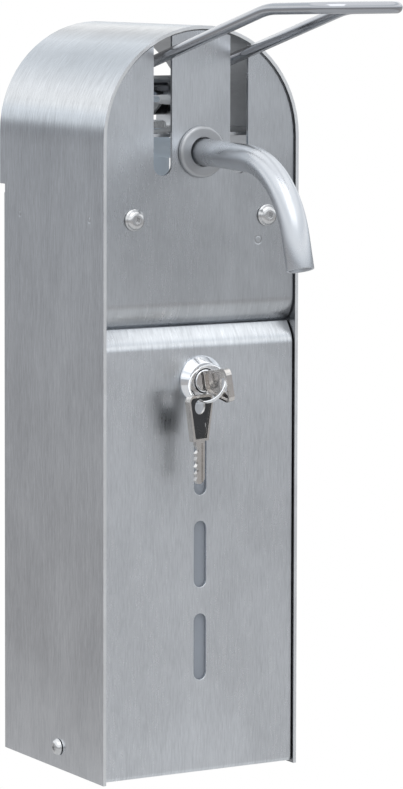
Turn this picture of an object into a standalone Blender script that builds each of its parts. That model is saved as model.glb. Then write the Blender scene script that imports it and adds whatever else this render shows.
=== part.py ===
"""A wall mounted elbow-lever soap dispenser in folded stainless sheet, as separate pieces.

Metres, +Z up. The pieces are drawn in the body's own frame: X to the right, Y from the shell's front
edge towards the wall, Z from the shell's lower edge. The empty "wall_datum" carries them all to where
the origin is the middle of the wall plate's back face.
"""

import math

import bmesh
import bpy
from mathutils import Matrix, Vector

# Shell: an arch-topped strip of sheet
WIDTH = 0.100
HEIGHT = 0.336
SHEET = 0.0015
UPPER_DEPTH = 0.0995
LOWER_DEPTH = 0.0970
STEP_HEIGHT = 0.262
FLANGE_REACH = 0.018
FLANGE_TOP = 0.258
REAR_BEND = 0.0025
ARCH_STEPS = 32
GAP = 0.0003
DATUM_HEIGHT = 0.150

# Front panel and door
FACE_Y = 0.0013
PANEL_HALF = 0.0478
PANEL_FOOT = 0.2137
PANEL_ROLL = 0.013
PANEL_ROLL_ANGLE = math.radians(59.5)
DOOR_HALF = 0.0479
DOOR_FOOT = 0.0009
DOOR_ROLL = 0.010
DOOR_ROLL_CENTRE = 0.1922
DOOR_LEAN = math.radians(35)
ROLL_STEPS = 8
DOOR_FLANGE_BACK = 0.016
DOOR_FOOT_BACK = 0.012
DOOR_SIDE_DEPTH = 0.014
SIGHT_SLOTS = (0.0578, 0.0997, 0.1414)
SIGHT_LENGTH = 0.0301
SIGHT_WIDTH = 0.0063
SIGHT_STRIP = 0.0007
SIGHT_STRIP_HALF = 0.0070
PIVOT_Y = 0.0422
PIVOT_Z = 0.0099

# Lever
ARM_X = 0.01955
ROD = 0.0025
ARM_SLOT = 0.00935
ARM_SLOT_FOOT = 0.26976
ARM_HEIGHT = 0.3226
ARM_SLOPE = 0.253
ARM_BACK = 0.0775
LOOP_Y = -0.1345
LOOP_Z = 0.3460
LOOP_BEND_Y = -0.0878
AXLE_Y = 0.084
AXLE_Z = 0.297
AXLE = 0.003
CHEEK_IN = 0.0152
CHEEK_FRONT = 0.044
CHEEK_CREST = 0.0014
WEB_BACK = 0.053
EAR_X = 0.028

# Pump, spout and bottle
PUMP_Y = 0.059
PUMP = 0.0144
PUMP_BORE = 0.009
PUMP_FOOT = 0.240
SHELF_TOP = 0.288
SHELF_FRONT = 0.008
SHELF_BACK = 0.094
NECK = 0.010
PLUNGER_ROD = 0.003
BUTTON_FOOT = 0.3000
BUTTON_TOP = 0.3025
ROLLER = 0.0033
SPOUT = 0.006
SPOUT_BORE = 0.005
SPOUT_AXIS = 0.28005
SPOUT_FALL = 0.026
SPOUT_TAIL = 0.014
SPOUT_CORNER = (-0.0702, 0.2782)
SPOUT_RADIUS = 0.0434
SPOUT_END = (-0.0832, 0.2335)
ROSE = 0.01165
BOTTLE_FRONT = 0.027
BOTTLE_BACK = 0.091
BOTTLE_HALF = 0.038
BOTTLE_WALL = 0.0015
BOTTLE_FOOT = 0.0063
BOTTLE_TOP = 0.190
BOTTLE_NECK = 0.014
BOTTLE_MOUTH = 0.236
TRAY_HALF = 0.042
TRAY_FLOOR = 0.0045

# Lock and keys
LOCK_Z = 0.1781
LOCK_ROSE = 0.011
LOCK_FRONT = -0.0032
BARREL = 0.008
BARREL_BACK = 0.0175
PLUG = 0.0052
CAM_Y = 0.0194
CAM_REACH = 0.033
KEY_TILT = math.radians(-9)
BOW_LENGTH = 0.0205
BOW_WIDE = 0.0082
BOW_NARROW = 0.0047
BOW_CORNER = 0.0030
BOW_HALF_THICK = 0.0014
WEB_HALF_THICK = 0.0005
RIM = 0.0011
KEY_HOLE = 0.0033
HOLE_FROM_END = 0.0053
BLADE_LENGTH = 0.019
BLADE_HALF = 0.0028
BLADE_HALF_THICK = 0.0009
BLADE_ROOT = 0.0020
BLADE_GROOVES = ((-0.0010, 0.0003), (0.0005, 0.0016))
GROOVE_DEPTH = 0.0005
TIP_CHAMFER = 0.0016
TEETH = 5
TOOTH_DEPTH = 0.0008
TOOTH_STEP = 0.0006
KEY_STAND_OFF = 0.0045
RING = 0.0087
RING_WIRE = 0.00065
RING_CENTRE = (-0.00411, -0.01194, 0.17792)
RING_NORMAL = (0.7362, 0.4945, -0.462)
SPARE_SHOULDER = (-0.00894, -0.01299, 0.15289)
SPARE_YAW = math.radians(17)

# Fixings
PANEL_SCREW_X = 0.034
PANEL_SCREW_Z = 0.2507
WALL_SCREW_X = 0.040
WALL_SCREW_HEIGHTS = (0.070, 0.225)
RIVET_Z = 0.030
PLATE_HALF = 0.046
PLATE_FOOT = 0.020
PLATE_TOP = 0.256
PLATE_FRONT = 0.0973

SIDES = {"left": -1, "right": 1}

FINISHES = {
    "brushed": ((0.47, 0.48, 0.49), 1.0, 0.36),
    "polished": ((0.66, 0.67, 0.68), 1.0, 0.16),
    "chrome": ((0.75, 0.76, 0.78), 1.0, 0.08),
    "zinc": ((0.45, 0.46, 0.47), 1.0, 0.42),
    "bottle": ((0.36, 0.42, 0.50), 0.0, 0.35),
    "cap": ((0.62, 0.65, 0.68), 0.0, 0.40),
    "pump": ((0.30, 0.35, 0.41), 0.0, 0.38),
    "dark": ((0.05, 0.05, 0.055), 0.0, 0.45),
    "spring": ((0.52, 0.52, 0.52), 1.0, 0.30),
}


# Scene helpers


def clear_scene():
    for item in list(bpy.data.objects):
        bpy.data.objects.remove(item, do_unlink=True)


def finish_named(name):
    material = bpy.data.materials.get(name)
    if material is None:
        colour, metallic, roughness = FINISHES[name]
        material = bpy.data.materials.new(name)
        material.use_nodes = True
        shader = material.node_tree.nodes["Principled BSDF"]
        shader.inputs["Base Color"].default_value = (*colour, 1.0)
        shader.inputs["Metallic"].default_value = metallic
        shader.inputs["Roughness"].default_value = roughness
        material.diffuse_color = (*colour, 1.0)
    return material


def empty_at(name, parent, place):
    """An empty on a joint's axis; place is in the body's frame."""
    marker = bpy.data.objects.new(name, None)
    bpy.context.collection.objects.link(marker)
    marker["place"] = place
    if parent is None:
        marker.location = -Vector(place)
    else:
        marker.parent = parent
        marker.location = Vector(place) - Vector(parent["place"]) if parent.parent else Vector(place)
    return marker


def attach(item, carrier):
    """Hangs an object drawn in the body's frame on a carrier empty without moving it."""
    item.parent = carrier
    if carrier.parent:
        item.location = -Vector(carrier["place"])


def add_piece(name, mesh_data, finish, carrier):
    item = bpy.data.objects.new(name, mesh_data)
    bpy.context.collection.objects.link(item)
    item.data.materials.append(finish_named(finish))
    attach(item, carrier)
    return item


def mesh_from(name, shape, smooth=30.0):
    """Turns a bmesh into mesh data with its faces out and its round faces smooth."""
    bmesh.ops.recalc_face_normals(shape, faces=shape.faces)
    data = bpy.data.meshes.new(name)
    shape.to_mesh(data)
    shape.free()
    data.shade_smooth()
    data.set_sharp_from_angle(angle=math.radians(smooth))
    return data


def boolean(target, tool, operation):
    modifier = target.modifiers.new(tool.name, "BOOLEAN")
    modifier.object = tool
    modifier.operation = operation
    modifier.solver = "EXACT"
    tool.hide_render = True
    tool.display_type = "WIRE"


def cut(target, name, shape):
    tool = add_piece(f"{name}_cutter", mesh_from(name, shape), "dark", target.parent)
    boolean(target, tool, "DIFFERENCE")


def join(target, name, shape):
    tool = add_piece(f"{name}_addition", mesh_from(name, shape), "dark", target.parent)
    boolean(target, tool, "UNION")


# Outlines and solids


def arc(centre, radius, start, end, steps):
    """Points of a round stretch, from start to end in degrees, both ends included."""
    points = []
    for step in range(steps + 1):
        angle = math.radians(start + (end - start) * step / steps)
        points.append((centre[0] + radius * math.cos(angle), centre[1] + radius * math.sin(angle)))
    return points


def rectangle(low, high):
    return [(low[0], low[1]), (high[0], low[1]), (high[0], high[1]), (low[0], high[1])]


def circle(centre, radius, steps=16):
    return arc(centre, radius, 0, 360 - 360 / steps, steps - 1)


def hexagon(centre, across_flats):
    return arc(centre, across_flats / math.sqrt(3), 30, 330, 5)


def level_slot(centre, length, width, steps=6):
    """A slot that stands upright, with round ends."""
    radius = width / 2
    reach = length / 2 - radius
    top = arc((centre[0], centre[1] + reach), radius, 0, 180, steps)
    foot = arc((centre[0], centre[1] - reach), radius, 180, 360, steps)
    return top + foot


def filleted(points, radii, steps=6):
    """A path through points with each inner corner rounded to its radius."""
    corners = [Vector(point) for point in points]
    path = [corners[0]]
    for index in range(1, len(corners) - 1):
        before = (corners[index - 1] - corners[index]).normalized()
        after = (corners[index + 1] - corners[index]).normalized()
        half = before.angle(after) / 2
        reach = radii[index - 1] / math.tan(half)
        middle = (before + after).normalized()
        centre = corners[index] + middle * (radii[index - 1] / math.sin(half))
        first = corners[index] + before * reach - centre
        last = corners[index] + after * reach - centre
        for step in range(steps + 1):
            share = step / steps
            turn = first.angle(last)
            weight_first = math.sin((1 - share) * turn) / math.sin(turn)
            weight_last = math.sin(share * turn) / math.sin(turn)
            path.append(centre + first * weight_first + last * weight_last)
    path.append(corners[-1])
    return path


def prism(outline, plane, low, high):
    """Extrudes a closed outline drawn in a plane (XY, XZ or YZ) along the third axis."""
    third = {"XY": 2, "XZ": 1, "YZ": 0}[plane]
    shape = bmesh.new()
    rings = []
    for level in (low, high):
        ring = []
        for first, second in outline:
            place = [first, second]
            place.insert(third, level)
            ring.append(shape.verts.new(place))
        rings.append(ring)
    shape.faces.new(rings[0])
    shape.faces.new(rings[1])
    count = len(outline)
    for index in range(count):
        follow = (index + 1) % count
        shape.faces.new((rings[0][index], rings[0][follow], rings[1][follow], rings[1][index]))
    return shape


def merged(shapes):
    """Puts several separate solids into one bmesh."""
    whole = bmesh.new()
    for shape in shapes:
        data = bpy.data.meshes.new("part")
        bmesh.ops.recalc_face_normals(shape, faces=shape.faces)
        shape.to_mesh(data)
        shape.free()
        whole.from_mesh(data)
        bpy.data.meshes.remove(data)
    return whole


def turned(profile, place, axis="Z", steps=24):
    """Turns a profile of (radius, height) points about an axis through place."""
    shape = bmesh.new()
    verts = [shape.verts.new((radius, 0.0, height)) for radius, height in profile]
    edges = [shape.edges.new((verts[i], verts[i + 1])) for i in range(len(verts) - 1)]
    if min(radius for radius, _ in profile) > 0:
        edges.append(shape.edges.new((verts[-1], verts[0])))
    bmesh.ops.spin(
        shape, geom=verts + edges, cent=(0, 0, 0), axis=(0, 0, 1),
        angle=2 * math.pi, steps=steps, use_merge=True, use_duplicate=False,
    )
    bmesh.ops.remove_doubles(shape, verts=shape.verts, dist=1e-6)
    turn = {
        "Z": Matrix(), "Y": Matrix.Rotation(-math.pi / 2, 4, "X"),
        "X": Matrix.Rotation(math.pi / 2, 4, "Y"),
    }
    bmesh.ops.transform(shape, matrix=Matrix.Translation(place) @ turn[axis], verts=shape.verts)
    return shape


def rod(radius, low, high, place, axis="Z", steps=24):
    """A plain round bar from low to high along an axis through place."""
    return turned([(0, low), (radius, low), (radius, high), (0, high)], place, axis, steps)


def tube(radius, bore, low, high, place, axis="Z", steps=24):
    return turned([(bore, low), (radius, low), (radius, high), (bore, high)], place, axis, steps)


def strip(path, thickness, side):
    """The outline of a sheet of one thickness that follows a path, on its left (+1) or right (-1)."""
    offset = []
    for index, point in enumerate(path):
        back = path[max(index - 1, 0)]
        ahead = path[min(index + 1, len(path) - 1)]
        along = (Vector(ahead) - Vector(back)).normalized()
        normal = Vector((-along.y, along.x)) * side
        offset.append(Vector(point) + normal * thickness)
    return [tuple(point) for point in path] + [tuple(point) for point in reversed(offset)]


def pipe(path, radius, bore, sides=16):
    """A hollow pipe along a path that lies in a plane of constant X, open at both ends."""
    shape = bmesh.new()
    loops = []
    for reach in (radius, bore):
        rings = []
        for index, point in enumerate(path):
            back = path[max(index - 1, 0)]
            ahead = path[min(index + 1, len(path) - 1)]
            along = (ahead - back).normalized()
            across = Vector((1, 0, 0))
            upward = across.cross(along)
            ring = []
            for side in range(sides):
                angle = 2 * math.pi * side / sides
                lift = across * math.cos(angle) + upward * math.sin(angle)
                ring.append(shape.verts.new(point + lift * reach))
            rings.append(ring)
        loops.append(rings)
    for rings in loops:
        for first, second in zip(rings, rings[1:]):
            for side in range(sides):
                follow = (side + 1) % sides
                shape.faces.new((first[side], first[follow], second[follow], second[side]))
    for end in (0, -1):
        outer, inner = loops[0][end], loops[1][end]
        for side in range(sides):
            follow = (side + 1) % sides
            shape.faces.new((outer[side], outer[follow], inner[follow], inner[side]))
    return shape


def bar_curve(name, path, radius, finish, carrier, closed=False, resolution=3):
    """A round wire or bar as a curve with a bevel and filled ends."""
    data = bpy.data.curves.new(name, "CURVE")
    data.dimensions = "3D"
    data.bevel_depth = radius
    data.bevel_resolution = resolution
    data.use_fill_caps = True
    spline = data.splines.new("POLY")
    spline.points.add(len(path) - 1)
    for point, place in zip(spline.points, path):
        point.co = (*place, 1.0)
    spline.use_cyclic_u = closed
    item = bpy.data.objects.new(name, data)
    bpy.context.collection.objects.link(item)
    data.materials.append(finish_named(finish))
    attach(item, carrier)
    return item


# Casing


def make_shell(datum):
    """The arch-topped strip, with a lower rear edge that is folded in as two wall flanges."""
    radius = WIDTH / 2
    spring = HEIGHT - radius
    outer = [(radius, 0.0)] + arc((0, spring), radius, 0, 180, ARCH_STEPS) + [(-radius, 0.0)]
    inside = radius - SHEET
    inner = [(-inside, 0.0)] + arc((0, spring), inside, 180, 0, ARCH_STEPS) + [(inside, 0.0)]
    shell = add_piece(
        "shell", mesh_from("shell", prism(outer + inner, "XZ", 0.0, UPPER_DEPTH)), "brushed", datum,
    )
    lowered = LOWER_DEPTH - REAR_BEND
    cut(shell, "rear_step", prism(rectangle((-0.06, lowered), (0.06, 0.11)), "XY", -0.01, STEP_HEIGHT))
    for side in (-1, 1):
        path = [
            (radius * side, lowered - 0.004), (radius * side, LOWER_DEPTH),
            ((radius - FLANGE_REACH) * side, LOWER_DEPTH),
        ]
        outline = strip(filleted(path, [REAR_BEND]), SHEET, side)
        flange = prism(outline, "XY", 0.0, FLANGE_TOP)
        join(shell, f"wall_flange_{side}", flange)
        keyholes = []
        for height in WALL_SCREW_HEIGHTS:
            place = (side * WALL_SCREW_X, height)
            keyholes.append(prism(circle((place[0], height - 0.009), 0.0050), "XZ", 0.09, 0.11))
            cut(
                shell, f"key_slot_{side}_{height}",
                prism(level_slot((place[0], height - 0.003), 0.0112, 0.0052), "XZ", 0.09, 0.11),
            )
        keyholes.append(prism(circle((side * WALL_SCREW_X, RIVET_Z), 0.0021, 16), "XZ", 0.09, 0.11))
        cut(shell, f"keyholes_{side}", merged(keyholes))
    cut(shell, "pivot_holes", rod(0.0023, -0.06, 0.06, (0, PIVOT_Y, PIVOT_Z), "X", 16))
    return shell


def make_front_panel(datum):
    """The arched upper panel: two open lever slots, and a lower edge rolled back out of the door's way."""
    spring = HEIGHT - WIDTH / 2
    path = [(FACE_Y, HEIGHT), (FACE_Y, PANEL_FOOT)]
    centre = (FACE_Y + PANEL_ROLL, PANEL_FOOT)
    path += arc(centre, PANEL_ROLL, 180, 180 + math.degrees(PANEL_ROLL_ANGLE), ROLL_STEPS)[1:]
    panel_mesh = mesh_from("front_panel", prism(strip(path, SHEET, 1), "YZ", -PANEL_HALF, PANEL_HALF))
    panel = add_piece("front_panel", panel_mesh, "brushed", datum)
    corner = [(-0.06, spring)] + [(x, z) for x, z in arc((0, spring), PANEL_HALF, 180, 0, ARCH_STEPS)] + [
        (0.06, spring), (0.06, 0.35), (-0.06, 0.35),
    ]
    cut(panel, "arch", prism(corner, "XZ", -0.01, 0.01))
    half = ARM_SLOT / 2
    for side in (-1, 1):
        middle = side * ARM_X
        foot = arc((middle, ARM_SLOT_FOOT + half), half, 180, 360, 10)
        outline = foot + [(middle + half, 0.36), (middle - half, 0.36)]
        cut(panel, f"arm_slot_{side}", prism(outline, "XZ", -0.01, 0.01))
        cut(
            panel, f"screw_hole_{side}",
            rod(0.0028, -0.01, 0.01, (side * PANEL_SCREW_X, 0, PANEL_SCREW_Z), "Y", 16),
        )
    cut(panel, "spout_hole", rod(0.0066, -0.01, 0.01, (0, 0, SPOUT_AXIS), "Y"))
    return panel


def leaning_top(radius, height):
    """The door's top edge in (depth, height): back to front along a flat slope, then round a bend."""
    centre = (FACE_Y + DOOR_ROLL, DOOR_ROLL_CENTRE)
    bend = arc(centre, radius, 180 - math.degrees(DOOR_LEAN), 180, ROLL_STEPS)
    start = bend[0]
    slope_back = start[0] + (height - start[1]) * math.tan(DOOR_LEAN)
    return [(slope_back, height)] + bend


def make_door(carrier):
    """The lower cover: a leaning top edge, folded sides and foot, and two ears for the pivots."""
    top = DOOR_ROLL_CENTRE + DOOR_ROLL
    foot_bend = 0.0018
    outline = [(DOOR_FLANGE_BACK, top - SHEET), (DOOR_FLANGE_BACK, top)]
    outline += leaning_top(DOOR_ROLL, top)
    outline += arc((FACE_Y + foot_bend, DOOR_FOOT + foot_bend), foot_bend, 180, 270, 4)
    outline += [(0.030, DOOR_FOOT)] + arc((PIVOT_Y, PIVOT_Z), 0.0080, -78, 60, 10)
    outline += [(DOOR_SIDE_DEPTH, 0.045), (DOOR_SIDE_DEPTH, top - SHEET)]
    door = add_piece(
        "door", mesh_from("door", prism(outline, "YZ", -DOOR_HALF, DOOR_HALF)), "brushed", carrier,
    )
    inside = [(0.1, top - SHEET)] + leaning_top(DOOR_ROLL - SHEET, top - SHEET)
    inside += [(FACE_Y + SHEET, DOOR_FOOT + SHEET), (DOOR_FOOT_BACK, DOOR_FOOT + SHEET)]
    inside += [(DOOR_FOOT_BACK, -0.01), (0.1, -0.01)]
    cut(door, "door_hollow", prism(inside, "YZ", -DOOR_HALF + SHEET, DOOR_HALF - SHEET))
    for index, height in enumerate(SIGHT_SLOTS):
        cut(
            door, f"sight_slot_{index}",
            prism(level_slot((0, height), SIGHT_LENGTH, SIGHT_WIDTH), "XZ", -0.01, 0.01),
        )
    cut(door, "lock_hole", rod(BARREL + 0.0004, -0.01, 0.010, (0, 0, LOCK_Z), "Y"))
    cut(door, "door_pivot_holes", rod(0.0023, -0.06, 0.06, (0, PIVOT_Y, PIVOT_Z), "X", 16))
    return door


def make_sight_strip(carrier):
    """The milky strip behind the door's sight slots."""
    front = FACE_Y + SHEET + GAP
    foot, top = SIGHT_SLOTS[0] - SIGHT_LENGTH * 0.62, SIGHT_SLOTS[-1] + SIGHT_LENGTH * 0.62
    outline = rectangle((-SIGHT_STRIP_HALF, foot), (SIGHT_STRIP_HALF, top))
    strip_mesh = mesh_from("sight_strip", prism(outline, "XZ", front, front + SIGHT_STRIP))
    add_piece("sight_strip", strip_mesh, "cap", carrier)


def make_wall_plate(datum):
    outline = rectangle((-PLATE_HALF, PLATE_FOOT), (PLATE_HALF, PLATE_TOP))
    plate_mesh = mesh_from("wall_plate", prism(outline, "XZ", PLATE_FRONT, UPPER_DEPTH))
    plate = add_piece("wall_plate", plate_mesh, "zinc", datum)
    for side in (-1, 1):
        for height in WALL_SCREW_HEIGHTS:
            cut(
                plate, f"plate_hole_{side}_{height}",
                rod(0.0025, 0.09, 0.11, (side * WALL_SCREW_X, 0, height), "Y", 16),
            )
        cut(
            plate, f"plate_rivet_room_{side}",
            rod(0.0036, 0.09, 0.11, (side * WALL_SCREW_X, 0, RIVET_Z), "Y", 16),
        )
    return plate


def make_pump_shelf(datum):
    """One folded sheet: a top that holds the pump, two sides, two tabs for the panel and two axle ears."""
    half = WIDTH / 2 - SHEET - GAP - 0.0002
    under = SHELF_TOP - SHEET
    top = prism(rectangle((-half, SHELF_FRONT), (half, SHELF_BACK)), "XY", under, SHELF_TOP)
    shelf = add_piece("pump_shelf", mesh_from("pump_shelf", top), "brushed", datum)
    side_outline = [
        (SHELF_FRONT, SHELF_TOP - 0.0003), (SHELF_FRONT, 0.262), (0.0031, 0.262), (0.0031, 0.240),
    ]
    side_outline += [(0.086, 0.240), (0.090, 0.244), (0.090, SHELF_TOP - 0.0003)]
    for side in (-1, 1):
        inner, outer = sorted((side * (half - SHEET), side * half))
        join(shelf, f"shelf_side_{side}", prism(side_outline, "YZ", inner, outer))
        low, high = sorted((side * 0.026, side * (half - 0.0004)))
        join(
            shelf, f"panel_tab_{side}",
            prism(rectangle((low, 0.2405), (high, 0.2615)), "XZ", 0.0031, 0.0031 + SHEET),
        )
        ear = [(0.076, SHELF_TOP - 0.0008)] + arc((AXLE_Y, AXLE_Z), 0.0075, 170, 10, 10) + [
            (0.092, SHELF_TOP - 0.0008),
        ]
        low, high = sorted((side * EAR_X, side * (EAR_X + SHEET)))
        join(shelf, f"axle_ear_{side}", prism(ear, "YZ", low, high))
        low, high = sorted((side * (CHEEK_IN - 0.0006), side * (CHEEK_IN + SHEET + 0.0006)))
        cut(shelf, f"cheek_slot_{side}", prism(rectangle((low, 0.038), (high, 0.082)), "XY", 0.28, 0.29))
        cut(
            shelf, f"tab_hole_{side}",
            rod(0.0028, -0.01, 0.01, (side * PANEL_SCREW_X, 0, PANEL_SCREW_Z), "Y", 16),
        )
    cut(shelf, "pump_hole", rod(NECK + 0.0004, 0.27, 0.30, (0, PUMP_Y, 0)))
    cut(shelf, "spout_notch", prism(rectangle((-0.0085, 0.0), (0.0085, 0.022)), "XY", 0.28, 0.295))
    cut(shelf, "axle_holes", rod(AXLE + 0.0003, -0.035, 0.035, (0, AXLE_Y, AXLE_Z), "X", 20))
    return shelf


def make_bottle_tray(datum):
    """The floor that the bottle stands on, riveted to the shell's rear flanges."""
    top = TRAY_FLOOR + SHEET
    path = [(0.016, 0.012), (0.016, TRAY_FLOOR), (0.0947, TRAY_FLOOR), (0.0947, 0.042)]
    outline = strip(filleted([Vector(point) for point in path], [0.002, 0.002], 4), SHEET, 1)
    tray = add_piece(
        "bottle_tray", mesh_from("bottle_tray", prism(outline, "YZ", -TRAY_HALF, TRAY_HALF)),
        "brushed", datum,
    )
    cut(tray, "tray_drain", prism(circle((0, 0.055), 0.010), "XY", 0.0, top + 0.002))
    cut(
        tray, "tray_rivet_holes",
        merged([rod(0.0021, 0.09, 0.10, (side * WALL_SCREW_X, 0, RIVET_Z), "Y", 16) for side in (-1, 1)]),
    )
    return tray


# Lever


def arm_line(depth):
    """Height of the lever arms' centre line at a depth behind the front edge."""
    return ARM_HEIGHT - ARM_SLOPE * depth


def make_lever_rod(carrier):
    """One bent bar: two arms through the panel's slots and a level loop for the elbow."""
    corners = []
    for side in (-1, 1):
        run = [
            (side * ARM_X, ARM_BACK, arm_line(ARM_BACK)),
            (side * ARM_X, LOOP_BEND_Y, arm_line(LOOP_BEND_Y)),
            (side * ARM_X, LOOP_Y, LOOP_Z),
        ]
        corners += run if side < 0 else run[::-1]
    path = filleted(corners, [0.060, 0.011, 0.011, 0.060], 6)
    return bar_curve("lever_rod", path, ROD, "polished", carrier, resolution=2)


def make_lever_yoke(carrier):
    """A folded channel between the arms: two cheeks on the axle, joined by a web at their front."""
    crest = [(CHEEK_FRONT, arm_line(CHEEK_FRONT) + CHEEK_CREST), (0.0885, arm_line(0.0885) + CHEEK_CREST)]
    cheek = [crest[0]] + [(CHEEK_FRONT, 0.3000), (0.047, 0.2985), (0.066, 0.2985), (0.077, 0.2908)]
    cheek += arc((AXLE_Y, AXLE_Z), 0.0068, -120, 0, 8) + [(0.0905, 0.3008), crest[1]]
    low, high = CHEEK_IN, CHEEK_IN + SHEET
    yoke = add_piece(
        "lever_yoke", mesh_from("lever_yoke", prism(cheek, "YZ", low, high)), "brushed", carrier,
    )
    join(yoke, "left_cheek", prism(cheek, "YZ", -high, -low))
    depths = (CHEEK_FRONT + 0.001, WEB_BACK)
    web = [(depth, arm_line(depth) + CHEEK_CREST - 0.0002) for depth in depths]
    web += [(depth, arm_line(depth) + CHEEK_CREST - 0.0002 - SHEET) for depth in reversed(depths)]
    join(yoke, "web", prism(web, "YZ", -CHEEK_IN - 0.0006, CHEEK_IN + 0.0006))
    cut(yoke, "yoke_axle_holes", rod(AXLE + 0.0003, -0.02, 0.02, (0, AXLE_Y, AXLE_Z), "X", 20))
    roller_z = BUTTON_TOP + GAP + ROLLER
    cut(yoke, "roller_pin_holes", rod(0.0013, -0.02, 0.02, (0, PUMP_Y, roller_z), "X", 16))
    return yoke


def make_roller(carrier):
    roller_z = BUTTON_TOP + GAP + ROLLER
    place = (0, PUMP_Y, roller_z)
    add_piece(
        "press_roller",
        mesh_from("press_roller", tube(ROLLER, 0.0014, -0.0145, 0.0145, place, "X", 20)), "dark",
        carrier,
    )
    reach = CHEEK_IN + SHEET
    profile = [(0, -reach), (0.0007, -reach), (0.0010, 0.0003 - reach)]
    profile += [(0.0010, reach - 0.0003), (0.0007, reach), (0, reach)]
    add_piece("roller_pin", mesh_from("roller_pin", turned(profile, place, "X", 16)), "zinc", carrier)


def make_axle(datum):
    place = (0, AXLE_Y, AXLE_Z)
    end = 0.0325
    groove = 0.0306
    profile = [
        (0, -end), (AXLE, -end), (AXLE, -groove - 0.0012), (0.0024, -groove - 0.0012),
        (0.0024, -groove), (AXLE, -groove),
    ]
    profile += [(radius, -reach) for radius, reach in reversed(profile)]
    add_piece("lever_axle", mesh_from("lever_axle", turned(profile, place, "X", 20)), "zinc", datum)
    for name, side in SIDES.items():
        low, high = sorted((side * (groove + 0.0002), side * (groove + 0.0010)))
        clip = tube(0.0048, 0.0027, low, high, place, "X", 20)
        add_piece(f"axle_clip_{name}", mesh_from("axle_clip", clip), "zinc", datum)
        low, high = sorted((side * (CHEEK_IN + SHEET + GAP), side * (EAR_X - GAP)))
        bush = tube(0.0044, AXLE + GAP, low, high, place, "X", 20)
        add_piece(f"axle_bush_{name}", mesh_from("axle_bush", bush), "dark", datum)


# Pump, spout and bottle


def make_pump(datum, plunger_carrier):
    """The piston pump: body, cap nut, plunger, button, spring and suction tube on one upright axis."""
    under = SHELF_TOP - SHEET - GAP
    place = (0, PUMP_Y, 0)
    body = [(0.0020, PUMP_FOOT), (PUMP - 0.002, PUMP_FOOT), (PUMP, PUMP_FOOT + 0.002)]
    body += [(PUMP, under - 0.0025), (PUMP - 0.0007, under - 0.0007), (PUMP - 0.0025, under)]
    body += [(NECK, under), (NECK, SHELF_TOP + 0.0013), (PUMP_BORE, SHELF_TOP + 0.0013)]
    body += [(PUMP_BORE, PUMP_FOOT + 0.004), (0.0020, PUMP_FOOT + 0.003)]
    pump = add_piece("pump_body", mesh_from("pump_body", turned(body, place)), "pump", datum)
    outlet = (0, 0, SPOUT_AXIS + SPOUT_FALL * SPOUT_TAIL)
    join(pump, "outlet", rod(0.0046, SHELF_FRONT + 0.001, PUMP_Y - PUMP_BORE - 0.002, outlet, "Y", 20))
    cut(pump, "outlet_bore", rod(0.0026, 0.0, PUMP_Y - 0.004, outlet, "Y", 16))
    nut_foot = SHELF_TOP + GAP
    nut = [
        (PLUNGER_ROD + 0.0004, 0.2898), (NECK + 0.0004, 0.2898), (NECK + 0.0004, nut_foot),
        (0.0128, nut_foot),
    ]
    nut += [(0.0128, 0.2908), (0.0122, 0.2914), (PLUNGER_ROD + 0.0004, 0.2914)]
    add_piece("pump_cap_nut", mesh_from("pump_cap_nut", turned(nut, place, "Z", 12)), "dark", datum)
    piston = [(0, 0.264), (PUMP_BORE - GAP, 0.264), (PUMP_BORE - GAP, 0.270), (PLUNGER_ROD, 0.271)]
    piston += [(PLUNGER_ROD, BUTTON_FOOT - 0.0003), (0, BUTTON_FOOT - 0.0003)]
    add_piece("plunger", mesh_from("plunger", turned(piston, place)), "zinc", plunger_carrier)
    button = [
        (0, BUTTON_FOOT), (0.0096, BUTTON_FOOT), (0.0100, BUTTON_FOOT + 0.0006),
        (0.0100, BUTTON_TOP - 0.0006),
    ]
    button += [(0.0094, BUTTON_TOP), (0, BUTTON_TOP)]
    add_piece(
        "plunger_button", mesh_from("plunger_button", turned(button, place)), "dark",
        plunger_carrier,
    )
    turns, steps, wire, coil = 5, 12, 0.0006, 0.0072
    low, high = PUMP_FOOT + 0.0052, 0.2630
    path = []
    for step in range(turns * steps + 1):
        angle = 2 * math.pi * step / steps
        rise = low + (high - low) * step / (turns * steps)
        path.append((coil * math.cos(angle), PUMP_Y + coil * math.sin(angle), rise))
    bar_curve("return_spring", path, wire, "spring", plunger_carrier, resolution=0)
    foot = 0.0145
    dip = tube(0.0032, 0.0021, foot, PUMP_FOOT - GAP, place, "Z", 16)
    add_piece("suction_tube", mesh_from("suction_tube", dip), "cap", datum)


def spout_path():
    tail = (0, SPOUT_TAIL, SPOUT_AXIS + SPOUT_FALL * SPOUT_TAIL)
    return filleted([tail, (0, *SPOUT_CORNER), (0, *SPOUT_END)], [SPOUT_RADIUS], 14)


def make_spout(datum):
    path = spout_path()
    add_piece("spout_tube", mesh_from("spout_tube", pipe(path, SPOUT, SPOUT_BORE), 40), "polished", datum)
    place = (0, 0, SPOUT_AXIS)
    clear = SPOUT + 0.0004
    rose = [
        (clear, -0.0012), (ROSE - 0.0008, -0.0012), (ROSE, -0.0004), (ROSE, FACE_Y - GAP),
        (clear, FACE_Y - GAP),
    ]
    add_piece("spout_rose", mesh_from("spout_rose", turned(rose, place, "Y", 28)), "polished", datum)
    back = FACE_Y + SHEET + GAP
    nut = prism(hexagon((0, SPOUT_AXIS), 0.0185), "XZ", back, back + 0.003)
    item = add_piece("spout_nut", mesh_from("spout_nut", nut), "zinc", datum)
    cut(item, "spout_nut_bore", rod(clear, -0.01, 0.02, place, "Y"))


def rounded_box(half, front, back, radius, steps=5):
    points = arc((half - radius, back - radius), radius, 0, 90, steps)
    points += arc((-half + radius, back - radius), radius, 90, 180, steps)
    points += arc((-half + radius, front + radius), radius, 180, 270, steps)
    points += arc((half - radius, front + radius), radius, 270, 360, steps)
    return points


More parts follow.
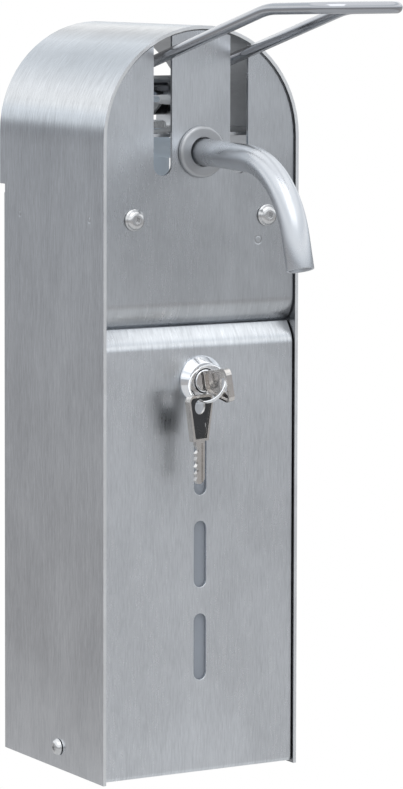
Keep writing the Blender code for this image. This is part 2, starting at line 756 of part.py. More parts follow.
def lofted(sections):
    """A closed solid through outlines of equal length, given as (outline, height)."""
    shape = bmesh.new()
    rings = []
    for outline, height in sections:
        rings.append([shape.verts.new((x, y, height)) for x, y in outline])
    for first, second in zip(rings, rings[1:]):
        for index in range(len(first)):
            follow = (index + 1) % len(first)
            shape.faces.new((first[index], first[follow], second[follow], second[index]))
    shape.faces.new(rings[0])
    shape.faces.new(rings[-1])
    return shape


def bottle_sections(inset):
    """Outlines up a square bottle, set in by a wall thickness: base, body, shoulder and round neck."""
    half = BOTTLE_HALF - inset
    front, back = BOTTLE_FRONT + inset, BOTTLE_BACK - inset
    body = rounded_box(half, front, back, 0.010 - inset)
    base = rounded_box(half - 0.003, front + 0.003, back - 0.003, 0.008 - inset)
    neck = []
    for x, y in body:
        angle = math.atan2(y - PUMP_Y, x)
        neck.append(
            ((BOTTLE_NECK - inset) * math.cos(angle), PUMP_Y + (BOTTLE_NECK - inset) * math.sin(angle)),
        )
    shoulder = [((a[0] * 0.72 + b[0] * 0.28), (a[1] * 0.72 + b[1] * 0.28)) for a, b in zip(body, neck)]
    return base, body, shoulder, neck


def make_bottle(datum):
    base, body, shoulder, neck = bottle_sections(0.0)
    outside = lofted([
        (base, BOTTLE_FOOT), (body, BOTTLE_FOOT + 0.003), (body, BOTTLE_TOP),
        (shoulder, BOTTLE_TOP + 0.016), (neck, 0.219), (neck, BOTTLE_MOUTH),
    ])
    bottle = add_piece("bottle", mesh_from("bottle", outside), "bottle", datum)
    base, body, shoulder, neck = bottle_sections(BOTTLE_WALL)
    inside = lofted([
        (base, BOTTLE_FOOT + BOTTLE_WALL), (body, BOTTLE_FOOT + 0.0045), (body, BOTTLE_TOP - 0.0005),
        (shoulder, BOTTLE_TOP + 0.0146), (neck, 0.2178), (neck, BOTTLE_MOUTH + 0.01),
    ])
    cut(bottle, "bottle_inside", inside)
    place = (0, PUMP_Y, 0)
    cap = [
        (0.0036, BOTTLE_MOUTH + GAP), (BOTTLE_NECK + 0.0004, BOTTLE_MOUTH + GAP),
        (BOTTLE_NECK + 0.0004, 0.2225),
    ]
    cap += [
        (0.0166, 0.2225), (0.0166, BOTTLE_MOUTH + 0.0016), (0.0156, BOTTLE_MOUTH + 0.0022),
        (0.0036, BOTTLE_MOUTH + 0.0022),
    ]
    add_piece("bottle_cap", mesh_from("bottle_cap", turned(cap, place)), "cap", datum)


# Lock and keys


def make_lock(door_pivot, plug_carrier, datum):
    place = (0, 0, LOCK_Z)
    bore = PLUG + GAP
    body = [
        (bore, LOCK_FRONT), (0.0086, LOCK_FRONT), (LOCK_ROSE - 0.0003, 0.0002),
        (LOCK_ROSE, FACE_Y - GAP),
    ]
    body += [(BARREL, FACE_Y - GAP), (BARREL, BARREL_BACK), (bore, BARREL_BACK)]
    add_piece("lock_body", mesh_from("lock_body", turned(body, place, "Y", 28)), "chrome", door_pivot)
    back = FACE_Y + SHEET + GAP
    nut = add_piece(
        "lock_nut",
        mesh_from("lock_nut", prism(hexagon((0, LOCK_Z), 0.022), "XZ", back, back + 0.003)), "zinc",
        door_pivot,
    )
    cut(nut, "lock_nut_bore", rod(BARREL + GAP, -0.01, 0.02, place, "Y"))
    plug = [
        (0, -0.0035), (PLUG - 0.0004, -0.0035), (PLUG, -0.0031), (PLUG, CAM_Y - GAP),
        (0.003, CAM_Y - GAP),
    ]
    plug += [(0.003, CAM_Y + 0.0021), (0, CAM_Y + 0.0021)]
    plug_item = add_piece(
        "lock_plug", mesh_from("lock_plug", turned(plug, place, "Y")), "chrome", plug_carrier,
    )
    keyway = prism(
        rectangle((-0.0012, -BLADE_HALF - GAP), (0.0012, BLADE_HALF + GAP)), "XZ", -0.01, 0.0165,
    )
    turn_about_lock(keyway)
    cut(plug_item, "keyway", keyway)
    cam_outline = arc((0, LOCK_Z), 0.006, -90, 90, 8) + arc(
        (-CAM_REACH + 0.005, LOCK_Z), 0.005, 90, 270, 8,
    )
    cam = add_piece(
        "lock_cam", mesh_from("lock_cam", prism(cam_outline, "XZ", CAM_Y, CAM_Y + 0.002)), "zinc",
        plug_carrier,
    )
    cut(cam, "cam_hole", rod(0.0033, 0.01, 0.03, place, "Y", 16))
    screw = rod(0.0045, CAM_Y + 0.0024, CAM_Y + 0.0046, place, "Y", 6)
    add_piece("cam_screw", mesh_from("cam_screw", screw), "zinc", plug_carrier)
    strike = [(0.0031, 0.232), (0.0031, 0.2195), (0.0173, 0.2195), (0.0173, 0.206)]
    outline = strip(filleted([Vector(point) for point in strike], [0.0016, 0.0016], 3), SHEET, 1)
    add_piece("lock_strike", mesh_from("lock_strike", prism(outline, "YZ", -0.014, 0.014)), "zinc", datum)


def turn_about_lock(shape):
    """Lifts a shape drawn about the origin to the lock's height and tilts it as the key stands."""
    turn = Matrix.Translation((0, 0, LOCK_Z)) @ Matrix.Rotation(KEY_TILT, 4, "Y")
    bmesh.ops.transform(shape, matrix=turn, verts=shape.verts)


def bow_outline(inset):
    """A key bow in (along, across): narrow at the shoulder, wide and round-cornered at its end."""
    narrow, wide = BOW_NARROW - inset, BOW_WIDE - inset
    corner = BOW_CORNER - inset
    points = [
        Vector((inset, -narrow)), Vector((BOW_LENGTH - inset, -wide)),
        Vector((BOW_LENGTH - inset, wide)), Vector((inset, narrow)),
    ]
    return [tuple(point) for point in filleted(points, [corner, corner], 5)]


def make_key(name, carrier, matrix):
    """A flat key along +Y of its own frame, its face in the YZ plane, its shoulder at the origin."""
    half = BOW_HALF_THICK
    bow = prism([(-along, across) for along, across in bow_outline(0.0)], "YZ", -half, half)
    blade = [(-BLADE_ROOT, BLADE_HALF), (BLADE_LENGTH - BLADE_ROOT, BLADE_HALF)]
    blade += [(BLADE_LENGTH, BLADE_HALF - TIP_CHAMFER), (BLADE_LENGTH, TIP_CHAMFER - BLADE_HALF)]
    pitch = (BLADE_LENGTH - 2 * BLADE_ROOT) / TEETH
    for tooth in range(TEETH):
        crest = BLADE_LENGTH - TIP_CHAMFER - tooth * pitch
        depth = TOOTH_DEPTH + TOOTH_STEP * ((tooth * 2) % 3)
        blade += [(crest, -BLADE_HALF), (crest - pitch / 2, depth - BLADE_HALF)]
    blade += [(TIP_CHAMFER, -BLADE_HALF), (-BLADE_ROOT, -BLADE_HALF)]
    shapes = [bow, prism(blade, "YZ", -BLADE_HALF_THICK, BLADE_HALF_THICK)]
    recesses = []
    for side in (-1, 1):
        low, high = sorted((side * WEB_HALF_THICK, side * 0.01))
        recesses.append(prism([(-along, across) for along, across in bow_outline(RIM)], "YZ", low, high))
    hole = prism(circle((-(BOW_LENGTH - HOLE_FROM_END), 0), KEY_HOLE, 20), "YZ", -0.01, 0.01)
    grooves = []
    for side, (low, high) in zip((-1, 1), BLADE_GROOVES):
        inner, outer = sorted((side * (BLADE_HALF_THICK - GROOVE_DEPTH), side * 0.01))
        grooves.append(prism(rectangle((0.001, low), (BLADE_LENGTH + 0.001, high)), "YZ", inner, outer))
    for shape in shapes + recesses + grooves + [hole]:
        bmesh.ops.transform(shape, matrix=matrix, verts=shape.verts)
    key = add_piece(name, mesh_from(name, shapes[0]), "chrome", carrier)
    join(key, f"{name}_blade", shapes[1])
    cut(key, f"{name}_recess", merged(recesses))
    cut(key, f"{name}_hole", hole)
    cut(key, f"{name}_grooves", merged(grooves))
    return key


def make_keys(datum, lock_axis):
    """The key in the lock, the ring through its bow and the spare key that hangs from the ring."""
    stand_off = Matrix.Translation((0, -KEY_STAND_OFF, 0))
    inserted = Matrix.Translation((0, 0, LOCK_Z)) @ Matrix.Rotation(KEY_TILT, 4, "Y") @ stand_off
    make_key("inserted_key", lock_axis, inserted)
    hole_reach = BOW_LENGTH - HOLE_FROM_END
    ring_axis = empty_at("ring_axis", datum, (0, -KEY_STAND_OFF - hole_reach, LOCK_Z))
    first = Vector(RING_NORMAL).orthogonal().normalized()
    second = Vector(RING_NORMAL).normalized().cross(first)
    path = []
    for across, along in circle((0, 0), RING, 32):
        path.append(Vector(RING_CENTRE) + first * across + second * along)
    bar_curve("split_ring", path, RING_WIRE, "chrome", ring_axis, closed=True, resolution=2)
    spare_hole = Vector(SPARE_SHOULDER) + Vector((0, 0, hole_reach))
    spare_axis = empty_at("spare_key_axis", datum, tuple(spare_hole))
    hanging = Matrix.Rotation(SPARE_YAW - math.pi / 2, 4, "Z") @ Matrix.Rotation(-math.pi / 2, 4, "X")
    make_key("spare_key", spare_axis, Matrix.Translation(SPARE_SHOULDER) @ hanging)


# Fixings


def button_screw(head, height, socket, socket_depth, shank, length, place, axis, reach):
    """A button-head socket screw whose seat is at the place and whose shank runs the other way."""
    dome = head * 0.86
    profile = [
        (0, -height), (dome * 0.55, -height), (dome * 0.86, -height * 0.72), (dome, -height * 0.32),
    ]
    profile += [(head, -height * 0.26), (head, 0), (shank, 0), (shank, length), (0, length)]
    if reach < 0:
        profile = [(radius, -level) for radius, level in profile]
    screw = turned(profile, place, axis, 16)
    plane = "XZ" if axis == "Y" else "YZ"
    centre = (place[0], place[2]) if axis == "Y" else (place[1], place[2])
    start = (place[1] if axis == "Y" else place[0]) - reach * height
    low, high = sorted((start - reach * 0.001, start + reach * socket_depth))
    return screw, prism(hexagon(centre, socket), plane, low, high)


def make_panel_screws(datum):
    for name, side in SIDES.items():
        seat = (side * PANEL_SCREW_X, FACE_Y - GAP, PANEL_SCREW_Z)
        screw, socket = button_screw(0.0049, 0.0027, 0.0030, 0.0016, 0.0024, 0.0110, seat, "Y", 1)
        item = add_piece(f"panel_screw_{name}", mesh_from("panel_screw", screw), "zinc", datum)
        cut(item, f"panel_socket_{name}", socket)
        outline = hexagon((seat[0], seat[2]), 0.0080)
        nut = add_piece(
            f"panel_nut_{name}", mesh_from("panel_nut", prism(outline, "XZ", 0.0049, 0.0087)),
            "zinc", datum,
        )
        cut(nut, f"panel_nut_bore_{name}", rod(0.0027, -0.01, 0.02, (seat[0], 0, seat[2]), "Y", 16))


def make_pivot_screws(datum):
    for name, side in SIDES.items():
        seat = (side * (WIDTH / 2 + GAP), PIVOT_Y, PIVOT_Z)
        screw, socket = button_screw(0.0038, 0.0022, 0.0025, 0.0013, 0.0019, 0.0070, seat, "X", -side)
        item = add_piece(f"door_pivot_screw_{name}", mesh_from("door_pivot_screw", screw), "zinc", datum)
        cut(item, f"pivot_socket_{name}", socket)
        low, high = sorted((side * 0.0432, side * 0.0460))
        nut_shape = prism(hexagon((PIVOT_Y, PIVOT_Z), 0.0070), "YZ", low, high)
        nut = add_piece(f"pivot_nut_{name}", mesh_from("pivot_nut", nut_shape), "zinc", datum)
        cut(nut, f"pivot_nut_bore_{name}", rod(0.0022, -0.06, 0.06, (0, PIVOT_Y, PIVOT_Z), "X", 16))


def make_wall_fixings(datum):
    for name, side in SIDES.items():
        for level, height in zip(("lower", "upper"), WALL_SCREW_HEIGHTS):
            place = (side * WALL_SCREW_X, 0, height)
            profile = [(0, 0.0920), (0.0026, 0.0920), (0.0040, 0.0930), (0.0043, 0.0952)]
            profile += [(0.0022, 0.0952), (0.0022, 0.0993), (0, 0.0993)]
            screw = turned(profile, place, "Y", 12)
            add_piece(f"wall_screw_{level}_{name}", mesh_from("wall_screw", screw), "zinc", datum)
        place = (side * WALL_SCREW_X, 0, RIVET_Z)
        profile = [(0, 0.0918), (0.0022, 0.0918), (0.0032, 0.0929), (0.0018, 0.0929)]
        profile += [(0.0018, 0.0973), (0.0030, 0.0973), (0.0026, 0.0982), (0, 0.0982)]
        add_piece(
            f"tray_rivet_{name}", mesh_from("tray_rivet", turned(profile, place, "Y", 12)), "zinc",
            datum,
        )


def main():
    clear_scene()
    datum = empty_at("wall_datum", None, (0, UPPER_DEPTH, DATUM_HEIGHT))
    lever_pivot = empty_at("lever_pivot", datum, (0, AXLE_Y, AXLE_Z))
    plunger_axis = empty_at("plunger_axis", datum, (0, PUMP_Y, BUTTON_TOP))
    door_pivot = empty_at("door_pivot", datum, (0, PIVOT_Y, PIVOT_Z))
    lock_axis = empty_at("lock_axis", datum, (0, 0, LOCK_Z))
    make_shell(datum)
    make_front_panel(datum)
    make_door(door_pivot)
    make_sight_strip(door_pivot)
    make_wall_plate(datum)
    make_pump_shelf(datum)
    make_bottle_tray(datum)
    make_lever_rod(lever_pivot)
    make_lever_yoke(lever_pivot)
    make_roller(lever_pivot)
    make_axle(datum)
    make_pump(datum, plunger_axis)
    make_spout(datum)
    make_bottle(datum)
    make_lock(door_pivot, lock_axis, datum)
    make_keys(datum, lock_axis)
    make_panel_screws(datum)
    make_pivot_screws(datum)
    make_wall_fixings(datum)


main()
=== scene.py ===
"""Looks of a wall mounted elbow-lever soap dispenser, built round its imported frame.

Each sub-assembly is a class that holds its sizes and dresses its own pieces. Lengths are in metres and
places are in the frame's own axes: +X to the right, +Y into the wall, +Z up.
"""

import logging
import math
from dataclasses import dataclass, field
from enum import Enum
from typing import Iterable, Optional, Sequence

import bpy
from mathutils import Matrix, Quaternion, Vector


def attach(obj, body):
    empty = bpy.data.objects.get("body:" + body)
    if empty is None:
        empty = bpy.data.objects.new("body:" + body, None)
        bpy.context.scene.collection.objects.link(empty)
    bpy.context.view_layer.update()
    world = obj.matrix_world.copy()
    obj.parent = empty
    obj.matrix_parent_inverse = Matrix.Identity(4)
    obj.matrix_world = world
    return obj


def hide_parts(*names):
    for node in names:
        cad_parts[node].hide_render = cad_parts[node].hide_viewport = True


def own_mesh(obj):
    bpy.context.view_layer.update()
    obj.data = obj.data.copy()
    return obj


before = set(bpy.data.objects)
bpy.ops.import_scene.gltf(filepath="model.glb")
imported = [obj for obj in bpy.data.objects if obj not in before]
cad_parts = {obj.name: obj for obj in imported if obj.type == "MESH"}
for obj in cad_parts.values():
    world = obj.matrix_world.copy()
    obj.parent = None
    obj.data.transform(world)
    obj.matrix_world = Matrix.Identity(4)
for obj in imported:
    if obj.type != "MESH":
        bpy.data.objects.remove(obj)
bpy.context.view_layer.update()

LOG = logging.getLogger("dispenser")
Colour = tuple[float, float, float]
Triple = tuple[float, float, float]
Piece = bpy.types.Object
Material = bpy.types.Material
Tree = bpy.types.NodeTree
Node = bpy.types.Node
Socket = bpy.types.NodeSocket

# The case's front edge and lower edge in the frame's axes
FRONT = -0.0995
FOOT = -0.150


class Slot(Enum):
    """The record's material slots."""

    CASE = "case_steel"
    POLISHED = "polished_steel"
    CHROME = "chrome"
    KEY = "key_metal"
    ZINC = "zinc_hardware"
    SPRING = "spring_steel"
    PUMP = "pump_plastic"
    BOTTLE = "bottle_plastic"
    CAP = "cap_plastic"
    DARK = "dark_plastic"


class Grain(Enum):
    """How fast a brushed sheet's streaks change along X, Y and Z, per metre."""

    UPRIGHT = (1350.0, 120.0, 150.0)
    ROUND_THE_ARCH = (150.0, 1350.0, 150.0)
    ACROSS = (120.0, 120.0, 1500.0)


class Axis(Enum):
    """The axis that a turned piece stands on, as the turn that lays +Z along it."""

    X = (0.0, math.pi / 2, 0.0)
    Y = (-math.pi / 2, 0.0, 0.0)
    Z = (0.0, 0.0, 0.0)


# Shader node groups


class Nodes:
    """A node tree with short calls for adding and joining nodes."""

    def __init__(self, tree: Tree) -> None:
        """Args: tree: the tree that the nodes are added to."""
        self.tree = tree

    def add(self, kind: str, values: Optional[dict[object, object]] = None, **settings: object) -> Node:
        """Adds a node.

        Args:
            kind: the node's type name.
            values: plain values for its inputs, by name or index.
            settings: properties of the node itself.

        Returns:
            The new node.
        """
        node = self.tree.nodes.new(kind)
        for key, value in settings.items():
            setattr(node, key, value)
        for key, value in (values or {}).items():
            node.inputs[key].default_value = value
        return node

    def join(self, source: Socket, target: Socket) -> None:
        """Links an output to an input."""
        self.tree.links.new(source, target)

    def sum(self, operation: str, first: object, second: object, third: object = None) -> Socket:
        """A Math node on sockets or plain numbers.

        Args:
            operation: the Math node's operation.
            first: a socket or a number.
            second: a socket or a number.
            third: a socket or a number, for operations that take three.

        Returns:
            The node's output socket.
        """
        node = self.add("ShaderNodeMath", operation=operation)
        for index, value in enumerate((first, second, third)):
            if value is None:
                continue
            if isinstance(value, Socket):
                self.join(value, node.inputs[index])
            else:
                node.inputs[index].default_value = float(value)
        return node.outputs[0]

    def spread(self, value: Socket, low: float, high: float, start: float = 0.0, end: float = 1.0) -> Socket:
        """Maps a value from one range to another and holds it there.

        Args:
            value: the socket to map.
            low: where the input range starts.
            high: where the input range ends.
            start: the output at low.
            end: the output at high.

        Returns:
            The mapped socket.
        """
        node = self.add(
            "ShaderNodeMapRange",
            {"From Min": low, "From Max": high, "To Min": start, "To Max": end},
        )
        self.join(value, node.inputs["Value"])
        return node.outputs["Result"]


class GroupKit:
    """Builds the shader node groups that several finishes share, once each."""

    def __init__(self) -> None:
        """Builds every group."""
        self.brushed = self._brushed_grain()
        self.handling = self._handling_marks()
        self.moulded = self._moulded_skin()
        self.plating = self._plating_mottle()

    @staticmethod
    def _blank(
        name: str, inputs: Sequence[tuple[str, str, object]], outputs: Sequence[tuple[str, str]],
    ) -> tuple[
        Tree, Nodes, Node, Node,
    ]:
        """Starts a group.

        Args:
            name: the group's name.
            inputs: name, kind and default of each input.
            outputs: name and kind of each output.

        Returns:
            The tree, its helper, the input node and the output node.
        """
        tree = bpy.data.node_groups.new(name, "ShaderNodeTree")
        kinds = {"vector": "NodeSocketVector", "value": "NodeSocketFloat", "colour": "NodeSocketColor"}
        for label, kind, default in inputs:
            socket = tree.interface.new_socket(label, in_out="INPUT", socket_type=kinds[kind])
            socket.default_value = default
        for label, kind in outputs:
            tree.interface.new_socket(label, in_out="OUTPUT", socket_type=kinds[kind])
        nodes = Nodes(tree)
        return tree, nodes, nodes.add("NodeGroupInput"), nodes.add("NodeGroupOutput")

    def _brushed_grain(self) -> Tree:
        """Fine streaks with wider soft bands, all drawn out along the brushing.

        Returns:
            The group.
        """
        tree, nodes, start, end = self._blank(
            "brushed_grain",
            [
                ("Place", "vector", (0, 0, 0)), ("Stretch", "vector", Grain.UPRIGHT.value),
                ("Fine", "value", 0.5), ("Bands", "value", 0.5),
            ],
            [("Shade", "value"), ("Height", "value")],
        )
        fine_map = nodes.add("ShaderNodeVectorMath", operation="MULTIPLY")
        nodes.join(start.outputs["Place"], fine_map.inputs[0])
        nodes.join(start.outputs["Stretch"], fine_map.inputs[1])
        fine = nodes.add("ShaderNodeTexNoise", {"Scale": 1.0, "Detail": 4.0, "Roughness": 0.62})
        nodes.join(fine_map.outputs[0], fine.inputs["Vector"])
        wide_map = nodes.add("ShaderNodeVectorMath", operation="MULTIPLY")
        nodes.join(fine_map.outputs[0], wide_map.inputs[0])
        wide_map.inputs[1].default_value = (0.085, 0.085, 0.13)
        wide = nodes.add("ShaderNodeTexNoise", {"Scale": 1.0, "Detail": 2.0, "Roughness": 0.5})
        nodes.join(wide_map.outputs[0], wide.inputs["Vector"])
        fine_part = nodes.sum(
            "MULTIPLY", nodes.sum("SUBTRACT", fine.outputs["Fac"], 0.5), start.outputs["Fine"],
        )
        wide_part = nodes.sum(
            "MULTIPLY", nodes.sum("SUBTRACT", wide.outputs["Fac"], 0.5), start.outputs["Bands"],
        )
        shade = nodes.sum("ADD", nodes.sum("ADD", fine_part, wide_part), 0.5)
        nodes.join(shade, end.inputs["Shade"])
        nodes.join(fine.outputs["Fac"], end.inputs["Height"])
        return tree

    def _handling_marks(self) -> Tree:
        """Soft smudges left by hands and a few long faint scratches.

        Returns:
            The group.
        """
        tree, nodes, start, end = self._blank(
            "handling_marks", [("Place", "vector", (0, 0, 0)), ("Spread", "value", 30.0)], [
                ("Smudge", "value"), ("Scratch", "value"),
            ]
        )
        cloud = nodes.add("ShaderNodeTexNoise", {"Detail": 3.0, "Roughness": 0.55, "Distortion": 0.4})
        nodes.join(start.outputs["Place"], cloud.inputs["Vector"])
        nodes.join(start.outputs["Spread"], cloud.inputs["Scale"])
        nodes.join(nodes.spread(cloud.outputs["Fac"], 0.38, 0.68), end.inputs["Smudge"])
        slant = nodes.add(
            "ShaderNodeMapping", {"Rotation": (0.3, 0.5, 0.9), "Scale": (900.0, 14.0, 220.0)},
        )
        nodes.join(start.outputs["Place"], slant.inputs["Vector"])
        lines = nodes.add("ShaderNodeTexNoise", {"Scale": 1.0, "Detail": 1.0})
        nodes.join(slant.outputs["Vector"], lines.inputs["Vector"])
        nodes.join(nodes.spread(lines.outputs["Fac"], 0.70, 0.78), end.inputs["Scratch"])
        return tree

    def _moulded_skin(self) -> Tree:
        """The fine grit and slow tone drift of a moulded plastic.

        Returns:
            The group.
        """
        tree, nodes, start, end = self._blank(
            "moulded_skin", [("Place", "vector", (0, 0, 0)), ("Grit", "value", 2500.0)], [
                ("Tone", "value"), ("Height", "value"),
            ]
        )
        grit = nodes.add("ShaderNodeTexNoise", {"Detail": 3.0, "Roughness": 0.6})
        nodes.join(start.outputs["Place"], grit.inputs["Vector"])
        nodes.join(start.outputs["Grit"], grit.inputs["Scale"])
        drift = nodes.add("ShaderNodeTexNoise", {"Scale": 45.0, "Detail": 2.0})
        nodes.join(start.outputs["Place"], drift.inputs["Vector"])
        nodes.join(drift.outputs["Fac"], end.inputs["Tone"])
        nodes.join(grit.outputs["Fac"], end.inputs["Height"])
        return tree

    def _plating_mottle(self) -> Tree:
        """The cloudy crystals of a plated surface.

        Returns:
            The group.
        """
        tree, nodes, start, end = self._blank(
            "plating_mottle", [("Place", "vector", (0, 0, 0)), ("Size", "value", 900.0)], [
                ("Cloud", "value"), ("Height", "value"),
            ]
        )
        cells = nodes.add("ShaderNodeTexVoronoi", {"Randomness": 1.0})
        nodes.join(start.outputs["Place"], cells.inputs["Vector"])
        nodes.join(start.outputs["Size"], cells.inputs["Scale"])
        cloud = nodes.add("ShaderNodeTexNoise", {"Detail": 3.0, "Scale": 260.0})
        nodes.join(start.outputs["Place"], cloud.inputs["Vector"])
        mixed = nodes.sum(
            "ADD", nodes.sum("MULTIPLY", cells.outputs["Distance"], 0.35),
            nodes.sum("MULTIPLY", cloud.outputs["Fac"], 0.75),
        )
        nodes.join(mixed, end.inputs["Cloud"])
        nodes.join(cells.outputs["Distance"], end.inputs["Height"])
        return tree


# Finishes


class Dress:
    """A new material with its Principled shader and the piece's own coordinates ready."""

    def __init__(self, name: str) -> None:
        """Args: name: what the material is called."""
        self.material = bpy.data.materials.new(name)
        self.material.use_nodes = True
        self.nodes = Nodes(self.material.node_tree)
        self.shader = self.material.node_tree.nodes["Principled BSDF"]
        self.place = self.nodes.add("ShaderNodeTexCoord").outputs["Object"]

    def group(self, tree: Tree, **values: object) -> Node:
        """Places a shared group that reads the piece's coordinates.

        Args:
            tree: the group.
            values: plain values for its inputs.

        Returns:
            The group's node.
        """
        node = self.nodes.add("ShaderNodeGroup", node_tree=tree)
        for key, value in values.items():
            node.inputs[key].default_value = value
        self.nodes.join(self.place, node.inputs["Place"])
        return node

    def colour(self, mask: Socket, dark: Colour, light: Colour, clamp: bool = True) -> None:
        """Feeds the base colour from dark to light by a mask, past either end if it isn't clamped.

        Args:
            mask: the value that mixes the two colours.
            dark: the colour at 0.
            light: the colour at 1.
            clamp: whether the mix stops at the two colours.
        """
        mix = self.nodes.add("ShaderNodeMix", data_type="RGBA", clamp_factor=clamp)
        mix.inputs[6].default_value = (*dark, 1.0)
        mix.inputs[7].default_value = (*light, 1.0)
        self.nodes.join(mask, mix.inputs[0])
        self.nodes.join(mix.outputs[2], self.shader.inputs["Base Color"])

    def relief(self, height: Socket, strength: float, depth: float) -> None:
        """Feeds the normal from a height, with its strength and its depth in metres.

        Args:
            height: the value that lifts the surface.
            strength: how strongly the bump shows.
            depth: the height of a value of 1, in metres.
        """
        bump = self.nodes.add("ShaderNodeBump", {"Strength": strength, "Distance": depth})
        self.nodes.join(height, bump.inputs["Height"])
        self.nodes.join(bump.outputs["Normal"], self.shader.inputs["Normal"])


@dataclass(frozen=True)
class BrushedSheet:
    """Stainless sheet with a brushed face, and optional painted light: lighter and darker bands by height and
    across, which stand in for reflections and shade.
    """

    name: str
    tint: Colour
    roughness: float
    grain: Grain
    fine: float = 0.42
    bands: float = 0.30
    slot: Slot = Slot.CASE
    welds: tuple[Triple, ...] = ()
    weld_size: float = 0.0017
    relief: float = 0.45
    # painted light: (place, gain) stops by height and across that lighten and darken the sheet in bands, as
    # painted reflections and shade
    painted_light_up: tuple[tuple[float, float], ...] = ()
    painted_light_across: tuple[tuple[float, float], ...] = ()
    cloud: float = 0.22

    def build(self, kit: GroupKit) -> Material:
        """Builds the material.

        Args:
            kit: the shared node groups.

        Returns:
            The material.
        """
        dress = Dress(self.name)
        nodes, shader = dress.nodes, dress.shader
        shader.inputs["Metallic"].default_value = 1.0
        grain = dress.group(kit.brushed, Stretch=self.grain.value, Fine=self.fine, Bands=self.bands)
        marks = dress.group(kit.handling, Spread=26.0)
        patches = nodes.sum("MULTIPLY", nodes.sum("SUBTRACT", marks.outputs["Smudge"], 0.5), self.cloud)
        shade = nodes.sum("ADD", grain.outputs["Shade"], patches)
        height = grain.outputs["Height"]
        if self.welds:
            ring = self._weld_rings(dress)
            shade = nodes.sum("SUBTRACT", shade, nodes.sum("MULTIPLY", ring, 0.55))
            height = nodes.sum("SUBTRACT", height, nodes.sum("MULTIPLY", ring, 4.0))
        # painted reflections and shade: lighter and darker bands by height (Z) and across (X)
        gain = self._painted_light_ramp(dress, "Z", self.painted_light_up)
        across = self._painted_light_ramp(dress, "X", self.painted_light_across)
        for tone in (gain, across):
            if tone is not None:
                shade = nodes.sum(
                    "ADD", shade, nodes.sum("MULTIPLY", nodes.sum("SUBTRACT", tone, 1.0), 2.5),
                )
        dark = tuple(part * 0.80 for part in self.tint)
        light = tuple(min(part * 1.20, 1.0) for part in self.tint)
        dress.colour(shade, dark, light, clamp=False)
        rough = nodes.sum(
            "ADD", nodes.sum("MULTIPLY", nodes.sum("SUBTRACT", 0.5, grain.outputs["Shade"]), 0.10),
            self.roughness,
        )
        rough = nodes.sum("ADD", rough, nodes.sum("MULTIPLY", marks.outputs["Smudge"], 0.02))
        rough = nodes.sum("SUBTRACT", rough, nodes.sum("MULTIPLY", marks.outputs["Scratch"], 0.006))
        nodes.join(rough, shader.inputs["Roughness"])
        dress.relief(height, self.relief, 0.00005)
        return dress.material

    @staticmethod
    def _painted_light_ramp(dress: Dress, axis: str, stops: Sequence[tuple[float, float]]) -> Optional[Socket]:
        """Painted light: lighter and darker bands along one axis, which stand in for reflections and shade.

        Args:
            dress: the material being built.
            axis: X, Y or Z.
            stops: (place, gain) pairs, lowest place first.

        Returns:
            The gain, or None when there are no stops.
        """
        if not stops:
            return None
        nodes = dress.nodes
        apart = nodes.add("ShaderNodeSeparateXYZ")
        nodes.join(dress.place, apart.inputs[0])
        gain: Optional[Socket] = None
        for (low, before), (high, after) in zip(stops, stops[1:]):
            part = nodes.spread(apart.outputs[axis], low, high, 0.0, after - before)
            gain = nodes.sum("ADD", part, before if gain is None else gain)
        return gain

    def _weld_rings(self, dress: Dress) -> Socket:
        """Small round spot-weld marks.

        Args:
            dress: the material being built.

        Returns:
            A mask that is 1 on each mark's rim.
        """
        nodes = dress.nodes
        total: Optional[Socket] = None
        for spot in self.welds:
            reach = nodes.add("ShaderNodeVectorMath", operation="DISTANCE")
            nodes.join(dress.place, reach.inputs[0])
            reach.inputs[1].default_value = spot
            off = nodes.sum(
                "ABSOLUTE", nodes.sum("SUBTRACT", reach.outputs["Value"], self.weld_size), 0.0,
            )
            rim = nodes.spread(off, 0.0, 0.0006, 1.0, 0.0)
            total = rim if total is None else nodes.sum("MAXIMUM", total, rim)
        return total


@dataclass(frozen=True)
class PolishedBar:
    """Polished tube and bar with faint drawing lines and a soft haze."""

    name: str
    tint: Colour
    roughness: float
    grain: Grain = Grain.ROUND_THE_ARCH
    slot: Slot = Slot.POLISHED
    relief: float = 0.05

    def build(self, kit: GroupKit) -> Material:
        """Builds the material.

        Args:
            kit: the shared node groups.

        Returns:
            The material.
        """
        dress = Dress(self.name)
        nodes, shader = dress.nodes, dress.shader
        shader.inputs["Metallic"].default_value = 1.0
        grain = dress.group(kit.brushed, Stretch=self.grain.value, Fine=0.22, Bands=0.3)
        marks = dress.group(kit.handling, Spread=70.0)
        dress.colour(
            grain.outputs["Shade"], tuple(part * 0.88 for part in self.tint),
            tuple(min(part * 1.12, 1.0) for part in self.tint),
        )
        rough = nodes.sum("ADD", nodes.sum("MULTIPLY", marks.outputs["Smudge"], 0.09), self.roughness)
        rough = nodes.sum("ADD", rough, nodes.sum("MULTIPLY", marks.outputs["Scratch"], 0.06))
        nodes.join(rough, shader.inputs["Roughness"])
        dress.relief(grain.outputs["Height"], self.relief, 0.00002)
        return dress.material


